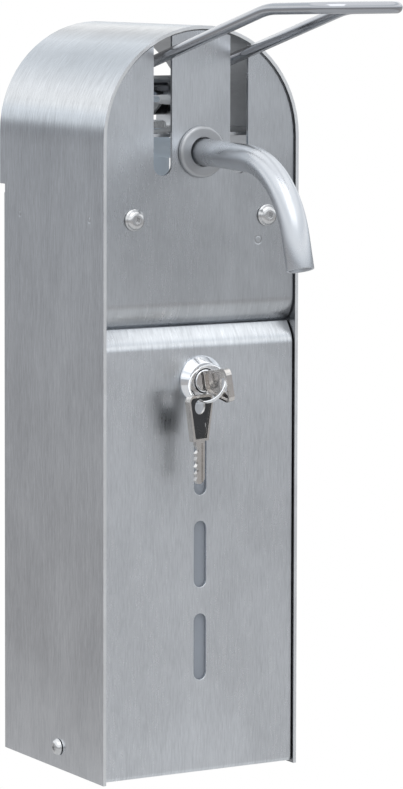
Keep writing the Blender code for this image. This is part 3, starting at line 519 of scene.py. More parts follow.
@dataclass(frozen=True)
class PlatedPart:
    """Bright zinc, nickel or chrome plate on a small part."""

    name: str
    tint: Colour
    roughness: float
    slot: Slot = Slot.ZINC
    cloud: float = 0.14
    warmth: float = 0.03

    def build(self, kit: GroupKit) -> Material:
        """Builds the material.

        Args:
            kit: the shared node groups.

        Returns:
            The material.
        """
        dress = Dress(self.name)
        nodes, shader = dress.nodes, dress.shader
        shader.inputs["Metallic"].default_value = 1.0
        plate = dress.group(kit.plating, Size=1400.0)
        marks = dress.group(kit.handling, Spread=180.0)
        red, green, blue = self.tint
        dark = (
            red * (1 - self.cloud), green * (1 - self.cloud),
            blue * (1 - self.cloud) - self.warmth * 0.5,
        )
        light = (
            min(red * (1 + self.cloud) + self.warmth, 1.0), min(green * (1 + self.cloud), 1.0),
            min(blue * (1 + self.cloud), 1.0),
        )
        dress.colour(plate.outputs["Cloud"], dark, light)
        rough = nodes.sum("ADD", nodes.sum("MULTIPLY", marks.outputs["Smudge"], 0.08), self.roughness)
        rough = nodes.sum("ADD", rough, nodes.sum("MULTIPLY", marks.outputs["Scratch"], 0.10))
        nodes.join(rough, shader.inputs["Roughness"])
        dress.relief(plate.outputs["Height"], 0.04, 0.00002)
        return dress.material


@dataclass(frozen=True)
class MouldedPart:
    """Moulded plastic, opaque or milky, with an optional painted glow that lifts it out of shade."""

    name: str
    tint: Colour
    roughness: float
    slot: Slot
    grit: float = 2500.0
    milk: float = 0.0
    painted_glow: float = 0.0

    def build(self, kit: GroupKit) -> Material:
        """Builds the material.

        Args:
            kit: the shared node groups.

        Returns:
            The material.
        """
        dress = Dress(self.name)
        nodes, shader = dress.nodes, dress.shader
        skin = dress.group(kit.moulded, Grit=self.grit)
        marks = dress.group(kit.handling, Spread=60.0)
        dress.colour(
            skin.outputs["Tone"], tuple(part * 0.90 for part in self.tint),
            tuple(min(part * 1.12, 1.0) for part in self.tint),
        )
        rough = nodes.sum("ADD", nodes.sum("MULTIPLY", marks.outputs["Smudge"], 0.10), self.roughness)
        nodes.join(rough, shader.inputs["Roughness"])
        shader.inputs["Subsurface Weight"].default_value = self.milk
        shader.inputs["Subsurface Radius"].default_value = (0.004, 0.004, 0.005)
        shader.inputs["Subsurface Scale"].default_value = 1.0
        # painted light: the plastic glows in its own colour to lift it out of the case's shade, though it is no
        # lamp
        shader.inputs["Emission Color"].default_value = (*self.tint, 1.0)
        shader.inputs["Emission Strength"].default_value = self.painted_glow
        dress.relief(skin.outputs["Height"], 0.10, 0.00005)
        return dress.material


@dataclass(frozen=True)
class Lacquer:
    """Black stove lacquer in the sunk faces of a key."""

    name: str
    tint: Colour
    roughness: float
    slot: Slot = Slot.KEY

    def build(self, kit: GroupKit) -> Material:
        """Builds the material.

        Args:
            kit: the shared node groups.

        Returns:
            The material.
        """
        dress = Dress(self.name)
        skin = dress.group(kit.moulded, Grit=3200.0)
        marks = dress.group(kit.handling, Spread=240.0)
        dress.colour(marks.outputs["Scratch"], self.tint, (0.30, 0.30, 0.30))
        rough = dress.nodes.sum(
            "ADD", dress.nodes.sum("MULTIPLY", marks.outputs["Smudge"], 0.12), self.roughness,
        )
        dress.nodes.join(rough, dress.shader.inputs["Roughness"])
        dress.relief(skin.outputs["Height"], 0.08, 0.00004)
        return dress.material


class Finishes:
    """Every material of the dispenser, by a plain name."""

    STEEL: Colour = (0.592, 0.612, 0.636)

    def __init__(self) -> None:
        """Builds the shared groups and the materials."""
        kit = GroupKit()
        side_welds = tuple(
            (side * 0.050, FRONT + depth, FOOT + height) for side in (-1, 1) for depth, height in (
                (0.0795, 0.2494), (0.0131, 0.2506),
            )
        )
        panel_mark = ((0.0297, FRONT + 0.0013, FOOT + 0.2398),)
        self.recipes = [
            BrushedSheet(
                "shell_steel", self.STEEL, 0.15, Grain.ROUND_THE_ARCH, fine=1.6, bands=0.55,
                welds=side_welds, weld_size=0.0011,
                # painted reflections and shade: lighter towards the foot, light and dark bands round the arch
                painted_light_up=(
                    (-0.150, 1.22), (-0.112, 1.10), (-0.098, 1.04), (0.06, 1.04), (0.131, 1.0),
                    (0.1415, 0.80), (0.147, 1.06),
                    (0.1515, 0.88), (0.158, 1.04), (0.167, 0.99), (0.1725, 0.93), (0.178, 1.05),
                    (0.182, 0.66), (0.186, 0.58),
                ),
            ),
            BrushedSheet(
                "panel_steel", self.STEEL, 0.28, Grain.UPRIGHT, fine=1.1, bands=0.55, welds=panel_mark,
                # painted reflections and shade: bands by height, lighter on the left than on the right
                painted_light_up=(
                    (0.065, 0.93), (0.110, 0.92), (0.120, 0.95), (0.128, 1.04), (0.134, 1.08), (0.140, 1.03),
                ),
                painted_light_across=((-0.048, 1.08), (-0.01, 1.0), (0.048, 0.94)),
            ),
            BrushedSheet(
                "door_steel", self.STEEL, 0.29, Grain.UPRIGHT, fine=1.8, bands=0.7,
                # painted light and shade: lighter towards the foot, a little lighter on the left than on the
                # right
                painted_light_up=((-0.149, 1.22), (-0.10, 1.20), (0.0, 1.13), (0.05, 1.15)),
                painted_light_across=((-0.048, 1.03), (0.0, 1.01), (0.048, 0.97)),
            ),
            # painted light: a lighter copy of the steel that lifts the parts inside the case out of their shade
            BrushedSheet("inner_steel_painted_light", (0.70, 0.71, 0.72), 0.34, Grain.ACROSS, fine=0.5, relief=0.15),
            # painted shade: a darker copy of the steel for the shell's inner faces and its right front edge
            BrushedSheet(
                "painted_shade_steel", (0.29, 0.295, 0.305), 0.34, Grain.UPRIGHT, fine=0.8, bands=0.9, relief=0.15,
            ),
            # painted highlight: a lighter copy of the steel for the front edge of the arch
            PolishedBar("painted_highlight_steel", (0.80, 0.81, 0.82), 0.34),
            PolishedBar("rod_steel", (0.43, 0.44, 0.465), 0.10),
            PolishedBar("spout_steel", (0.58, 0.60, 0.63), 0.25, relief=0.14),
            PolishedBar("rose_steel", (0.45, 0.46, 0.475), 0.33, Grain.ACROSS),
            PolishedBar("spring_wire", (0.55, 0.55, 0.55), 0.25, slot=Slot.SPRING),
            PlatedPart("lock_chrome", (0.88, 0.89, 0.91), 0.055, Slot.CHROME, cloud=0.04, warmth=0.0),
            PlatedPart("ring_chrome", (0.93, 0.94, 0.96), 0.13, Slot.CHROME, cloud=0.05, warmth=0.0),
            PlatedPart("key_nickel", (0.66, 0.65, 0.63), 0.16, Slot.KEY, cloud=0.10),
            PlatedPart("screw_zinc", (0.66, 0.665, 0.67), 0.20, Slot.ZINC, cloud=0.12, warmth=0.01),
            PlatedPart("plate_zinc", (0.52, 0.53, 0.54), 0.34, Slot.ZINC, cloud=0.20),
            Lacquer("key_lacquer", (0.020, 0.021, 0.023), 0.20),
            # painted light: the plastic parts inside the case glow to lift them out of their shade
            MouldedPart("pump_moulding", (0.50, 0.57, 0.64), 0.36, Slot.PUMP, painted_glow=0.34),
            MouldedPart("bottle_skin", (0.46, 0.50, 0.56), 0.34, Slot.BOTTLE, milk=0.25, painted_glow=0.18),
            MouldedPart("cap_moulding", (0.78, 0.80, 0.82), 0.38, Slot.CAP, painted_glow=0.12),
            MouldedPart("sight_milk", (0.205, 0.222, 0.250), 0.45, Slot.CAP, milk=0.2, painted_glow=0.15),
            MouldedPart("black_moulding", (0.028, 0.028, 0.030), 0.42, Slot.DARK),
        ]
        self.materials = {recipe.name: recipe.build(kit) for recipe in self.recipes}
        self.slots = {recipe.name: recipe.slot for recipe in self.recipes}

    def put_on(self, piece: Piece, name: str) -> None:
        """Gives a piece one material all over.

        Args:
            piece: a new piece or a CAD node's object.
            name: the finish's name.
        """
        piece.data.materials.clear()
        piece.data.materials.append(self.materials[name])


# Modelling by hand


class Bench:
    """Modelling moves, each on freshly chosen objects, faces or edges."""

    @staticmethod
    def clear() -> None:
        """Deselects every object."""
        bpy.ops.object.select_all(action="DESELECT")

    @staticmethod
    def pick(piece: Piece) -> None:
        """Makes one object the only selected and active one.

        Args:
            piece: the object to select and make active.
        """
        Bench.clear()
        piece.select_set(True)
        bpy.context.view_layer.objects.active = piece

    @staticmethod
    def edit(piece: Piece, choose: str = "EDGE") -> None:
        """Enters edit mode on a piece with nothing selected.

        Args:
            piece: the object to work on.
            choose: VERT, EDGE or FACE.
        """
        Bench.pick(piece)
        bpy.ops.object.mode_set(mode="EDIT")
        bpy.ops.mesh.select_mode(type=choose)
        bpy.ops.mesh.select_all(action="DESELECT")

    @staticmethod
    def leave() -> None:
        """Goes back to object mode."""
        bpy.ops.object.mode_set(mode="OBJECT")

    @staticmethod
    def modify(piece: Piece, kind: str, **settings: object) -> None:
        """Adds a modifier with its settings and applies it.

        Args:
            piece: the object.
            kind: the modifier's type.
            settings: the modifier's properties.
        """
        Bench.pick(piece)
        bpy.ops.object.modifier_add(type=kind)
        modifier = piece.modifiers[-1]
        for key, value in settings.items():
            setattr(modifier, key, value)
        bpy.ops.object.modifier_apply(modifier=modifier.name)

    @staticmethod
    def smooth(piece: Piece, angle: float = 35.0, weighted: bool = True) -> None:
        """Shades round faces smooth and keeps flat ones flat.

        Args:
            piece: the object.
            angle: edges sharper than this many degrees stay sharp.
            weighted: whether larger faces hold the normals.
        """
        Bench.pick(piece)
        bpy.ops.object.shade_smooth_by_angle(angle=math.radians(angle))
        if weighted:
            Bench.modify(piece, "WEIGHTED_NORMAL", keep_sharp=True, weight=60)

    @staticmethod
    def settle(piece: Piece, name: str) -> Piece:
        """Names a piece and puts its place into its mesh.

        Args:
            piece: the object.
            name: its new name.

        Returns:
            The same object, at the origin.
        """
        piece.name = name
        piece.data.name = name
        Bench.pick(piece)
        bpy.ops.object.transform_apply(location=True, rotation=True, scale=True)
        return piece

    @staticmethod
    def tidy_mesh(piece: Piece, flat: float = 0.0) -> None:
        """Merges doubled points, joins flat neighbours and turns the faces outwards.

        Args:
            piece: the object.
            flat: faces within this many degrees become one, or 0 to leave them.
        """
        Bench.edit(piece, "VERT")
        bpy.ops.mesh.select_all(action="SELECT")
        bpy.ops.mesh.remove_doubles(threshold=0.000002)
        if flat:
            bpy.ops.mesh.dissolve_limited(angle_limit=math.radians(flat))
        bpy.ops.mesh.normals_make_consistent(inside=False)
        Bench.leave()

    @staticmethod
    def copy_node(node: str, name: str) -> Piece:
        """A separate copy of a CAD node's object with its points merged.

        Args:
            node: the CAD node.
            name: the copy's name.

        Returns:
            The copy.
        """
        Bench.pick(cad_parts[node])
        bpy.ops.object.duplicate()
        piece = bpy.context.view_layer.objects.active
        piece.name = name
        piece.data = piece.data.copy()
        piece.data.name = name
        Bench.tidy_mesh(piece, flat=0.6)
        return piece

    @staticmethod
    def eased(piece: Piece, width: float, segments: int = 2, angle: float = 38.0) -> None:
        """Rounds a piece's sharp edges.

        Args:
            piece: the object.
            width: how far the rounding reaches.
            segments: how many steps it takes.
            angle: only edges sharper than this many degrees.
        """
        Bench.modify(
            piece, "BEVEL", width=width, segments=segments, limit_method="ANGLE",
            angle_limit=math.radians(angle), use_clamp_overlap=True, loop_slide=False, harden_normals=False,
        )

    @staticmethod
    def lathe(
        name: str, profile: Sequence[tuple[float, float]], place: Triple, axis: Axis = Axis.Z,
        sides: int = 64,
    ) -> Piece:
        """Turns a piece by drawing a circle out ring by ring.

        Args:
            name: the piece's name.
            profile: (radius, height) of each ring. A first or last radius of 0 closes that end, and
                otherwise the last ring is bridged to the first, which leaves a bore.
            place: where the profile's zero stands.
            axis: the axis it stands on.
            sides: faces round it.

        Returns:
            The piece, with its place in its mesh.
        """
        closed_foot = profile[0][0] == 0.0
        closed_top = profile[-1][0] == 0.0
        rings = [ring for ring in profile if ring[0] > 0.0]
        Bench.clear()
        bpy.ops.mesh.primitive_circle_add(
            vertices=sides, radius=rings[0][0], location=(0, 0, 0), fill_type="NOTHING",
        )
        piece = bpy.context.view_layer.objects.active
        for vertex in piece.data.vertices:
            vertex.co.z = rings[0][1]
        Bench.edit(piece, "EDGE")
        bpy.ops.mesh.select_all(action="SELECT")
        if closed_foot:
            bpy.ops.mesh.edge_face_add()
            Bench.leave()
            Bench.edit(piece, "EDGE")
            bpy.ops.mesh.select_all(action="SELECT")
            bpy.ops.mesh.select_mode(type="EDGE")
        for (before, low), (after, high) in zip(rings, rings[1:]):
            bpy.ops.mesh.extrude_edges_move(TRANSFORM_OT_translate={"value": (0.0, 0.0, high - low)})
            if after != before:
                ratio = after / before
                bpy.ops.transform.resize(value=(ratio, ratio, 1.0), center_override=(0.0, 0.0, high))
        if closed_top:
            bpy.ops.mesh.edge_face_add()
        if not closed_foot and not closed_top:
            bpy.ops.mesh.select_all(action="DESELECT")
            bpy.ops.mesh.select_non_manifold()
            bpy.ops.mesh.bridge_edge_loops()
        bpy.ops.mesh.select_all(action="SELECT")
        bpy.ops.mesh.normals_make_consistent(inside=False)
        Bench.leave()
        piece.rotation_euler = axis.value
        piece.location = place
        return Bench.settle(piece, name)

    @staticmethod
    def bar(
        name: str, path: Iterable[Vector], radius: float, sides: int = 12, closed: bool = False,
        ends: bool = True,
    ) -> Piece:
        """A round bar along a path, turned into a mesh.

        Args:
            name: the piece's name.
            path: the points of its centre line.
            radius: half its thickness.
            sides: how many steps a quarter turn takes.
            closed: whether it joins up with itself.
            ends: whether its ends are filled.

        Returns:
            The piece.
        """
        Bench.clear()
        bpy.ops.curve.primitive_nurbs_path_add()
        piece = bpy.context.view_layer.objects.active
        piece.location = (0, 0, 0)
        curve = piece.data
        curve.splines.clear()
        spline = curve.splines.new("POLY")
        points = list(path)
        spline.points.add(len(points) - 1)
        for point, spot in zip(spline.points, points):
            point.co = (*spot, 1.0)
        spline.use_cyclic_u = closed
        curve.bevel_depth = radius
        curve.bevel_resolution = sides
        curve.use_fill_caps = ends and not closed
        Bench.pick(piece)
        bpy.ops.object.convert(target="MESH")
        piece = bpy.context.view_layer.objects.active
        Bench.tidy_mesh(piece)
        return Bench.settle(piece, name)

    @staticmethod
    def press_ribs(piece: Piece, place: Triple, radius: float, height: float) -> None:
        """Presses every third upright outer face out into a rib.

        Args:
            piece: the turned piece.
            place: a point on its axis.
            radius: the skirt's radius.
            height: how far a rib stands out.
        """
        Bench.edit(piece, "FACE")
        Bench.leave()
        for face in piece.data.polygons:
            across = Vector((face.center.x - place[0], face.center.y - place[1]))
            turn = math.degrees(math.atan2(across.y, across.x)) % 360.0
            upright = abs(face.normal.z) < 0.1 and across.length > radius * 0.985
            face.select = upright and int(turn / 5.0) % 3 == 0
        bpy.ops.object.mode_set(mode="EDIT")
        bpy.ops.mesh.extrude_region_shrink_fatten(TRANSFORM_OT_shrink_fatten={"value": height})
        Bench.leave()

    @staticmethod
    def cut(piece: Piece, tool: Piece) -> None:
        """Cuts a tool's shape out of a piece and removes the tool."""
        Bench.modify(piece, "BOOLEAN", operation="DIFFERENCE", solver="EXACT", object=tool)
        bpy.data.objects.remove(tool, do_unlink=True)


def rounded_path(corners: Sequence[Vector], radii: Sequence[float], steps: int) -> list[Vector]:
    """A path through corners, with each inner corner turned on its own radius.

    Args:
        corners: the path's ends and inner corners.
        radii: the radius of each inner corner.
        steps: points round each corner.

    Returns:
        The path's points.
    """
    path = [corners[0]]
    for index in range(1, len(corners) - 1):
        before = (corners[index - 1] - corners[index]).normalized()
        after = (corners[index + 1] - corners[index]).normalized()
        half = before.angle(after) / 2
        centre = corners[index] + (before + after).normalized() * (radii[index - 1] / math.sin(half))
        reach = radii[index - 1] / math.tan(half)
        first = corners[index] + before * reach - centre
        last = corners[index] + after * reach - centre
        turn = first.angle(last)
        for step in range(steps + 1):
            share = step / steps
            path.append(
                centre + (
                    first * math.sin((1 - share) * turn) + last * math.sin(share * turn)
                ) / math.sin(turn),
            )
    path.append(corners[-1])
    return path


# Sub-assemblies


@dataclass
class Assembly:
    """What every sub-assembly does: dress CAD nodes, ease copies of them and hand pieces over."""

    finishes: Finishes
    body: str = "case"
    made: list[str] = field(default_factory=list)

    def hand_over(self, piece: Piece, finish: str, nodes: Sequence[str], body: Optional[str] = None) -> Piece:
        """Dresses a new piece, hangs it on its body and lets it stand for CAD nodes.

        Args:
            piece: the finished piece.
            finish: its finish's name.
            nodes: the CAD nodes that it stands for.
            body: the body it rides on, if not the assembly's own.

        Returns:
            The piece.
        """
        if finish:
            self.finishes.put_on(piece, finish)
        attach(piece, body or self.body)
        if nodes:
            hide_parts(*nodes)
        self.made.append(piece.name)
        LOG.info("%s: %d faces", piece.name, len(piece.data.polygons))
        return piece

    def keep(self, finish: str, *nodes: str) -> None:
        """Dresses CAD nodes whose own shape is shown.

        Args:
            finish: the finish's name.
            nodes: the CAD nodes.
        """
        for node in nodes:
            self.finishes.put_on(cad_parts[node], finish)
            LOG.info("%s: CAD shape, %s", node, finish)

    def ease(
        self, node: str, finish: str, width: float, body: Optional[str] = None, segments: int = 2,
        smooth: float = 35.0,
    ) -> Piece:
        """Stands a copy with rounded edges in for a CAD node.

        Args:
            node: the CAD node.
            finish: the finish's name.
            width: how far the rounding reaches.
            body: the body it rides on, if not the assembly's own.
            segments: steps in the rounding.
            smooth: edges sharper than this many degrees stay sharp.

        Returns:
            The piece.
        """
        piece = Bench.copy_node(node, f"{node}_eased")
        if width:
            Bench.eased(piece, width, segments)
        Bench.smooth(piece, smooth)
        return self.hand_over(piece, finish, [node], body)


@dataclass
class CaseWork(Assembly):
    """The folded shell, the arched front panel and the sheet parts inside."""

    edge: float = 0.00022
    spring: float = FOOT + 0.286

    def build(self) -> None:
        """Eases and dresses the sheet parts."""
        shell = self.ease("shell", "shell_steel", self.edge)
        # Painted light and shade: the arch's front edge gets a lighter steel as a painted highlight; the right
        # front edge and the inward facing faces get a darker steel as painted shade.
        shell.data.materials.append(self.finishes.materials["painted_highlight_steel"])
        shell.data.materials.append(self.finishes.materials["painted_shade_steel"])
        for face in shell.data.polygons:
            spot, facing = face.center, face.normal
            outward = Vector((spot.x, 0.0, max(spot.z - self.spring, 0.0)))
            if spot.y < FRONT + 0.0001 and facing.y < -0.9:
                face.material_index = 2 if spot.x > 0.030 else int(spot.z > self.spring)
            elif outward.dot(facing) < 0.0 and abs(facing.y) < 0.5:
                face.material_index = 2
        self.ease("front_panel", "panel_steel", self.edge)
        self.ease("pump_shelf", "inner_steel_painted_light", self.edge)
        self.ease("bottle_tray", "inner_steel_painted_light", self.edge)
        self.ease("wall_plate", "plate_zinc", self.edge)
        self.ease("lock_strike", "plate_zinc", self.edge)


@dataclass
class DoorUnit(Assembly):
    """The hinged lower door with the body of its cam lock."""

    body: str = "door"
    edge: float = 0.00022
    lock_place: Triple = (0.0, FRONT, FOOT + 0.1781)
    rosette: float = 0.011
    bore: float = 0.0055
    barrel: float = 0.008

    def build(self) -> None:
        """Builds the door, the rosette and the nut behind it."""
        self.ease("door", "door_steel", self.edge)
        self.ease("sight_strip", "sight_milk", 0.0)
        self._rosette()
        self.ease("lock_nut", "screw_zinc", 0.0002)

    def _rosette(self) -> None:
        """A bright coned rosette with a rolled rim, a flat land and a sunk collar round the plug."""
        seat = 0.0010
        profile = [
            (self.bore, -0.0026), (self.bore + 0.0002, -0.0030), (self.bore + 0.0005, -0.0032),
            (0.0079, -0.0032), (0.0083, -0.0031), (0.0086, -0.0028),
            (0.0096, -0.0016), (0.0105, -0.0004), (0.0108, -0.0001), (0.01095, 0.0003),
            (self.rosette, 0.0006), (self.rosette, seat - 0.0002), (self.rosette - 0.0002, seat),
            (self.barrel, seat), (self.barrel, 0.0173), (self.barrel - 0.0002, 0.0175),
            (self.bore + 0.0002, 0.0175), (self.bore, 0.0173),
        ]
        piece = Bench.lathe("lock_rosette", profile, self.lock_place, Axis.Y, 96)
        Bench.smooth(piece, 28.0)
        self.hand_over(piece, "lock_chrome", ["lock_body"])


@dataclass
class LockUnit(Assembly):
    """The plug that turns, its cam and the key that stands in it."""

    body: str = "lock"

    def build(self) -> None:
        """Eases and dresses the turning parts and the key."""
        self.ease("lock_plug", "lock_chrome", 0.0002)
        self.ease("lock_cam", "plate_zinc", 0.0002)
        self.ease("cam_screw", "screw_zinc", 0.00015)
        self.ease("inserted_key", "key_nickel", 0.00012, segments=1)


@dataclass
class KeySet(Assembly):
    """The split ring and the spare key that hangs from it."""

    body: str = "key_ring"
    centre: Triple = (-0.00411, FRONT - 0.01194, FOOT + 0.17792)
    normal: Triple = (0.7362, 0.4945, -0.4620)
    ring: float = 0.0087
    coil_wire: float = 0.00048
    turns: float = 1.9
    yaw: float = math.radians(17)
    shoulder: Triple = (-0.00894, FRONT - 0.01299, FOOT + 0.15289)

    def build(self) -> None:
        """Winds the ring and lacquers the spare key's sunk faces."""
        self._split_ring()
        self._spare_key()

    def _split_ring(self) -> None:
        """Two close coils of round wire with stepped crossings, as a split ring is wound."""
        axis = Vector(self.normal).normalized()
        first = axis.orthogonal().normalized()
        second = axis.cross(first)
        steps = 150
        path = []
        for step in range(steps + 1):
            turn = self.turns * step / steps
            angle = 2 * math.pi * turn
            crossing = min(max((turn - 0.90) / 0.14, 0.0), 1.0)
            lift = (crossing * crossing * (3 - 2 * crossing) - 0.5) * 2 * self.coil_wire * 1.03
            spot = Vector(self.centre) + first * (self.ring * math.cos(angle))
            spot += second * (self.ring * math.sin(angle))
            path.append(spot + axis * lift)
        piece = Bench.bar("split_ring_coils", path, self.coil_wire, 3)
        Bench.smooth(piece, 50.0, weighted=False)
        self.hand_over(piece, "ring_chrome", ["split_ring"])

    def _spare_key(self) -> None:
        """The spare key: nickel all over, with black lacquer on the sunk faces of its bow."""
        piece = self.ease("spare_key", "key_nickel", 0.00012, body="spare_key", segments=1)
        piece.data.materials.append(self.finishes.materials["key_lacquer"])
        normal = Vector((math.sin(self.yaw), -math.cos(self.yaw), 0.0))
        corner = Vector(self.shoulder)
        for face in piece.data.polygons:
            reach = (face.center - corner).dot(normal)
            height = face.center.z - corner.z
            if abs(abs(reach) - 0.0005) < 0.0001 and abs(face.normal.dot(normal)) > 0.95 and height > 0.0008:
                face.material_index = 1


@dataclass
class LeverUnit(Assembly):
    """The bent rod, its yoke and the axle that carries them."""

    body: str = "lever"
    rod: float = 0.0025
    arm_x: float = 0.01955
    arm_height: float = 0.3226
    slope: float = 0.253
    arm_back: float = 0.0775
    bend: float = -0.0878
    loop_y: float = -0.1345
    loop_z: float = 0.3460

    def build(self) -> None:
        """Bends the rod and dresses the yoke, roller and axle."""
        self._bent_rod()
        self.ease("lever_yoke", "inner_steel_painted_light", 0.0002)
        self.ease("press_roller", "rod_steel", 0.0002, body="roller")
        self.keep("screw_zinc", "roller_pin", "axle_clip_left", "axle_clip_right")
        self.ease("lever_axle", "screw_zinc", 0.0002, body="case")
        self.keep("black_moulding", "axle_bush_left", "axle_bush_right")

    def _height(self, depth: float) -> float:
        """Height of the arms' centre line at a depth behind the case's front edge."""
        return FOOT + self.arm_height - self.slope * depth

    def _bent_rod(self) -> None:
        """One bar: arm, long bend, loop, long bend, arm, with its two ends eased."""
        corners: list[Vector] = []
        for side in (-1, 1):
            run = [
                Vector((side * self.arm_x, FRONT + self.arm_back, self._height(self.arm_back))),
                Vector((side * self.arm_x, FRONT + self.bend, self._height(self.bend))),
                Vector((side * self.arm_x, FRONT + self.loop_y, FOOT + self.loop_z)),
            ]
            corners += run if side < 0 else run[::-1]
        path = rounded_path(corners, [0.060, 0.011, 0.011, 0.060], 20)
        piece = Bench.bar("lever_rod_bent", path, self.rod, 10)
        Bench.eased(piece, 0.0004, 2, 60.0)
        Bench.smooth(piece, 40.0, weighted=False)
        self.hand_over(piece, "rod_steel", ["lever_rod"])


@dataclass
class SpoutUnit(Assembly):
    """The bent spout tube, the rose that covers its hole and the nut behind."""

    outer: float = 0.006
    inner: float = 0.005
    axis_height: float = 0.28005
    fall: float = 0.026
    tail: float = 0.014
    corner: tuple[float, float] = (-0.0702, 0.2782)
    bend: float = 0.0434
    end: tuple[float, float] = (-0.0832, 0.2335)
    rose: float = 0.01165

    def build(self) -> None:
        """Builds the tube and the rose, and eases the nut."""
        self._tube()
        self._rose()
        self.ease("spout_nut", "screw_zinc", 0.0002)

    def _tube(self) -> None:
        """A thin walled tube on one long bend, with its cut ends eased."""
        corners = [
            Vector((0.0, FRONT + self.tail, FOOT + self.axis_height + self.fall * self.tail)),
            Vector((0.0, FRONT + self.corner[0], FOOT + self.corner[1])),
            Vector((0.0, FRONT + self.end[0], FOOT + self.end[1])),
        ]
        path = rounded_path(corners, [self.bend], 48)
        piece = Bench.bar("spout_tube_bent", path, self.outer, 14, ends=False)
        Bench.modify(piece, "SOLIDIFY", thickness=self.outer - self.inner, offset=-1.0, use_rim=True)
        Bench.eased(piece, 0.00022, 2, 60.0)
        Bench.smooth(piece, 40.0, weighted=False)
        self.hand_over(piece, "spout_steel", ["spout_tube"])

    def _rose(self) -> None:
        """A round flange with a rolled outer edge and a shallow step up to the tube."""
        clear = self.outer + 0.0004
        profile = [
            (clear, -0.0009), (clear + 0.0003, -0.0012), (self.rose - 0.0016, -0.0012),
            (self.rose - 0.0010, -0.0011),
            (self.rose - 0.0005, -0.0008), (self.rose - 0.0001, -0.0003), (self.rose, 0.0001),
            (self.rose, 0.0010), (clear, 0.0010),
        ]
        piece = Bench.lathe(
            "spout_rose_turned", profile, (0.0, FRONT, FOOT + self.axis_height), Axis.Y, 96,
        )
        Bench.smooth(piece, 40.0)
        self.hand_over(piece, "rose_steel", ["spout_rose"])


@dataclass
class PumpUnit(Assembly):
    """The piston pump under the lever: body, cap nut, plunger, spring and suction tube."""

    pump_y: float = 0.059
    coil: float = 0.0072
    wire: float = 0.0006
    spring_foot: float = 0.2452
    spring_top: float = 0.2630
    stroke: float = 0.0082
    turns: float = 6.5

    def build(self) -> None:
        """Builds the ribbed cap nut and the spring, and dresses the rest."""
        self.ease("pump_body", "pump_moulding", 0.00025)
        self._ribbed_nut()
        self.keep("screw_zinc", "plunger")
        self.ease("plunger_button", "pump_moulding", 0.0003, body="plunger")
        self._return_spring()
        self.ease("suction_tube", "cap_moulding", 0.0)

    def _ribbed_nut(self) -> None:
        """The pump's cap nut, with finger ribs pressed out of its skirt."""
        profile = [
            (0.0034, 0.2911), (0.0037, 0.2914), (0.0119, 0.2914), (0.0123, 0.2911), (0.0124, 0.2908),
            (0.0124, 0.2886), (0.0122, 0.2883), (0.0104, 0.2883), (0.0104, 0.2898), (0.0034, 0.2898),
        ]
        place = (0.0, FRONT + self.pump_y, FOOT)
        piece = Bench.lathe("pump_cap_nut_ribbed", profile, place, Axis.Z, 72)
        Bench.press_ribs(piece, place, 0.0124, 0.0004)
        Bench.smooth(piece, 35.0)
        self.hand_over(piece, "cap_moulding", ["pump_cap_nut"])

    def _return_spring(self) -> None:
        """A compression spring with closed end coils."""
        steps = 260
        path = []
        for step in range(steps + 1):
            share = step / steps
            turn = self.turns * share
            closing = min(turn, self.turns - turn, 1.0)
            free = min(max((turn - 1.0) / (self.turns - 2.0), 0.0), 1.0)
            pad = 0.00115
            span = self.spring_top - self.spring_foot - 2 * pad
            rise = self.spring_foot + pad + span * free
            rise -= (1.0 - closing) * pad if turn < self.turns / 2 else -(1.0 - closing) * pad
            angle = 2 * math.pi * turn
            path.append(
                Vector((
                    self.coil * math.cos(angle), FRONT + self.pump_y + self.coil * math.sin(angle), FOOT + rise,
                )),
            )
        piece = Bench.bar("return_spring_coil", path, self.wire, 3)
        Bench.smooth(piece, 50.0, weighted=False)
        self.hand_over(piece, "spring_wire", ["return_spring"], body="case")
        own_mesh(piece)


@dataclass
class BottleUnit(Assembly):
    """The square bottle behind the sight slots and its screw cap."""

    pump_y: float = 0.059
    mouth: float = 0.236

    def build(self) -> None:
        """Eases the bottle and builds its ribbed cap."""
        self.ease("bottle", "bottle_skin", 0.0006, segments=3)
        self._cap()

    def _cap(self) -> None:
        """A screw cap with ribs round its skirt and a hole for the suction tube."""
        foot = 0.2225
        profile = [
            (0.0036, self.mouth + 0.0020), (0.0039, self.mouth + 0.0022), (0.0152, self.mouth + 0.0022),
            (0.0158, self.mouth + 0.0019), (0.0161, self.mouth + 0.0014), (0.0161, foot + 0.0003),
            (0.0159, foot),
            (0.0144, foot), (0.0144, self.mouth + 0.0003), (0.0036, self.mouth + 0.0003),
        ]
        place = (0.0, FRONT + self.pump_y, FOOT)
        piece = Bench.lathe("bottle_cap_ribbed", profile, place, Axis.Z, 72)
        Bench.press_ribs(piece, place, 0.0161, 0.0004)
        Bench.smooth(piece, 35.0)
        self.hand_over(piece, "cap_moulding", ["bottle_cap"])


@dataclass(frozen=True)
class ScrewSize:
    """A button-head socket screw's sizes."""

    flange: float
    dome: float
    height: float
    socket: float
    socket_depth: float
    shank: float
    length: float


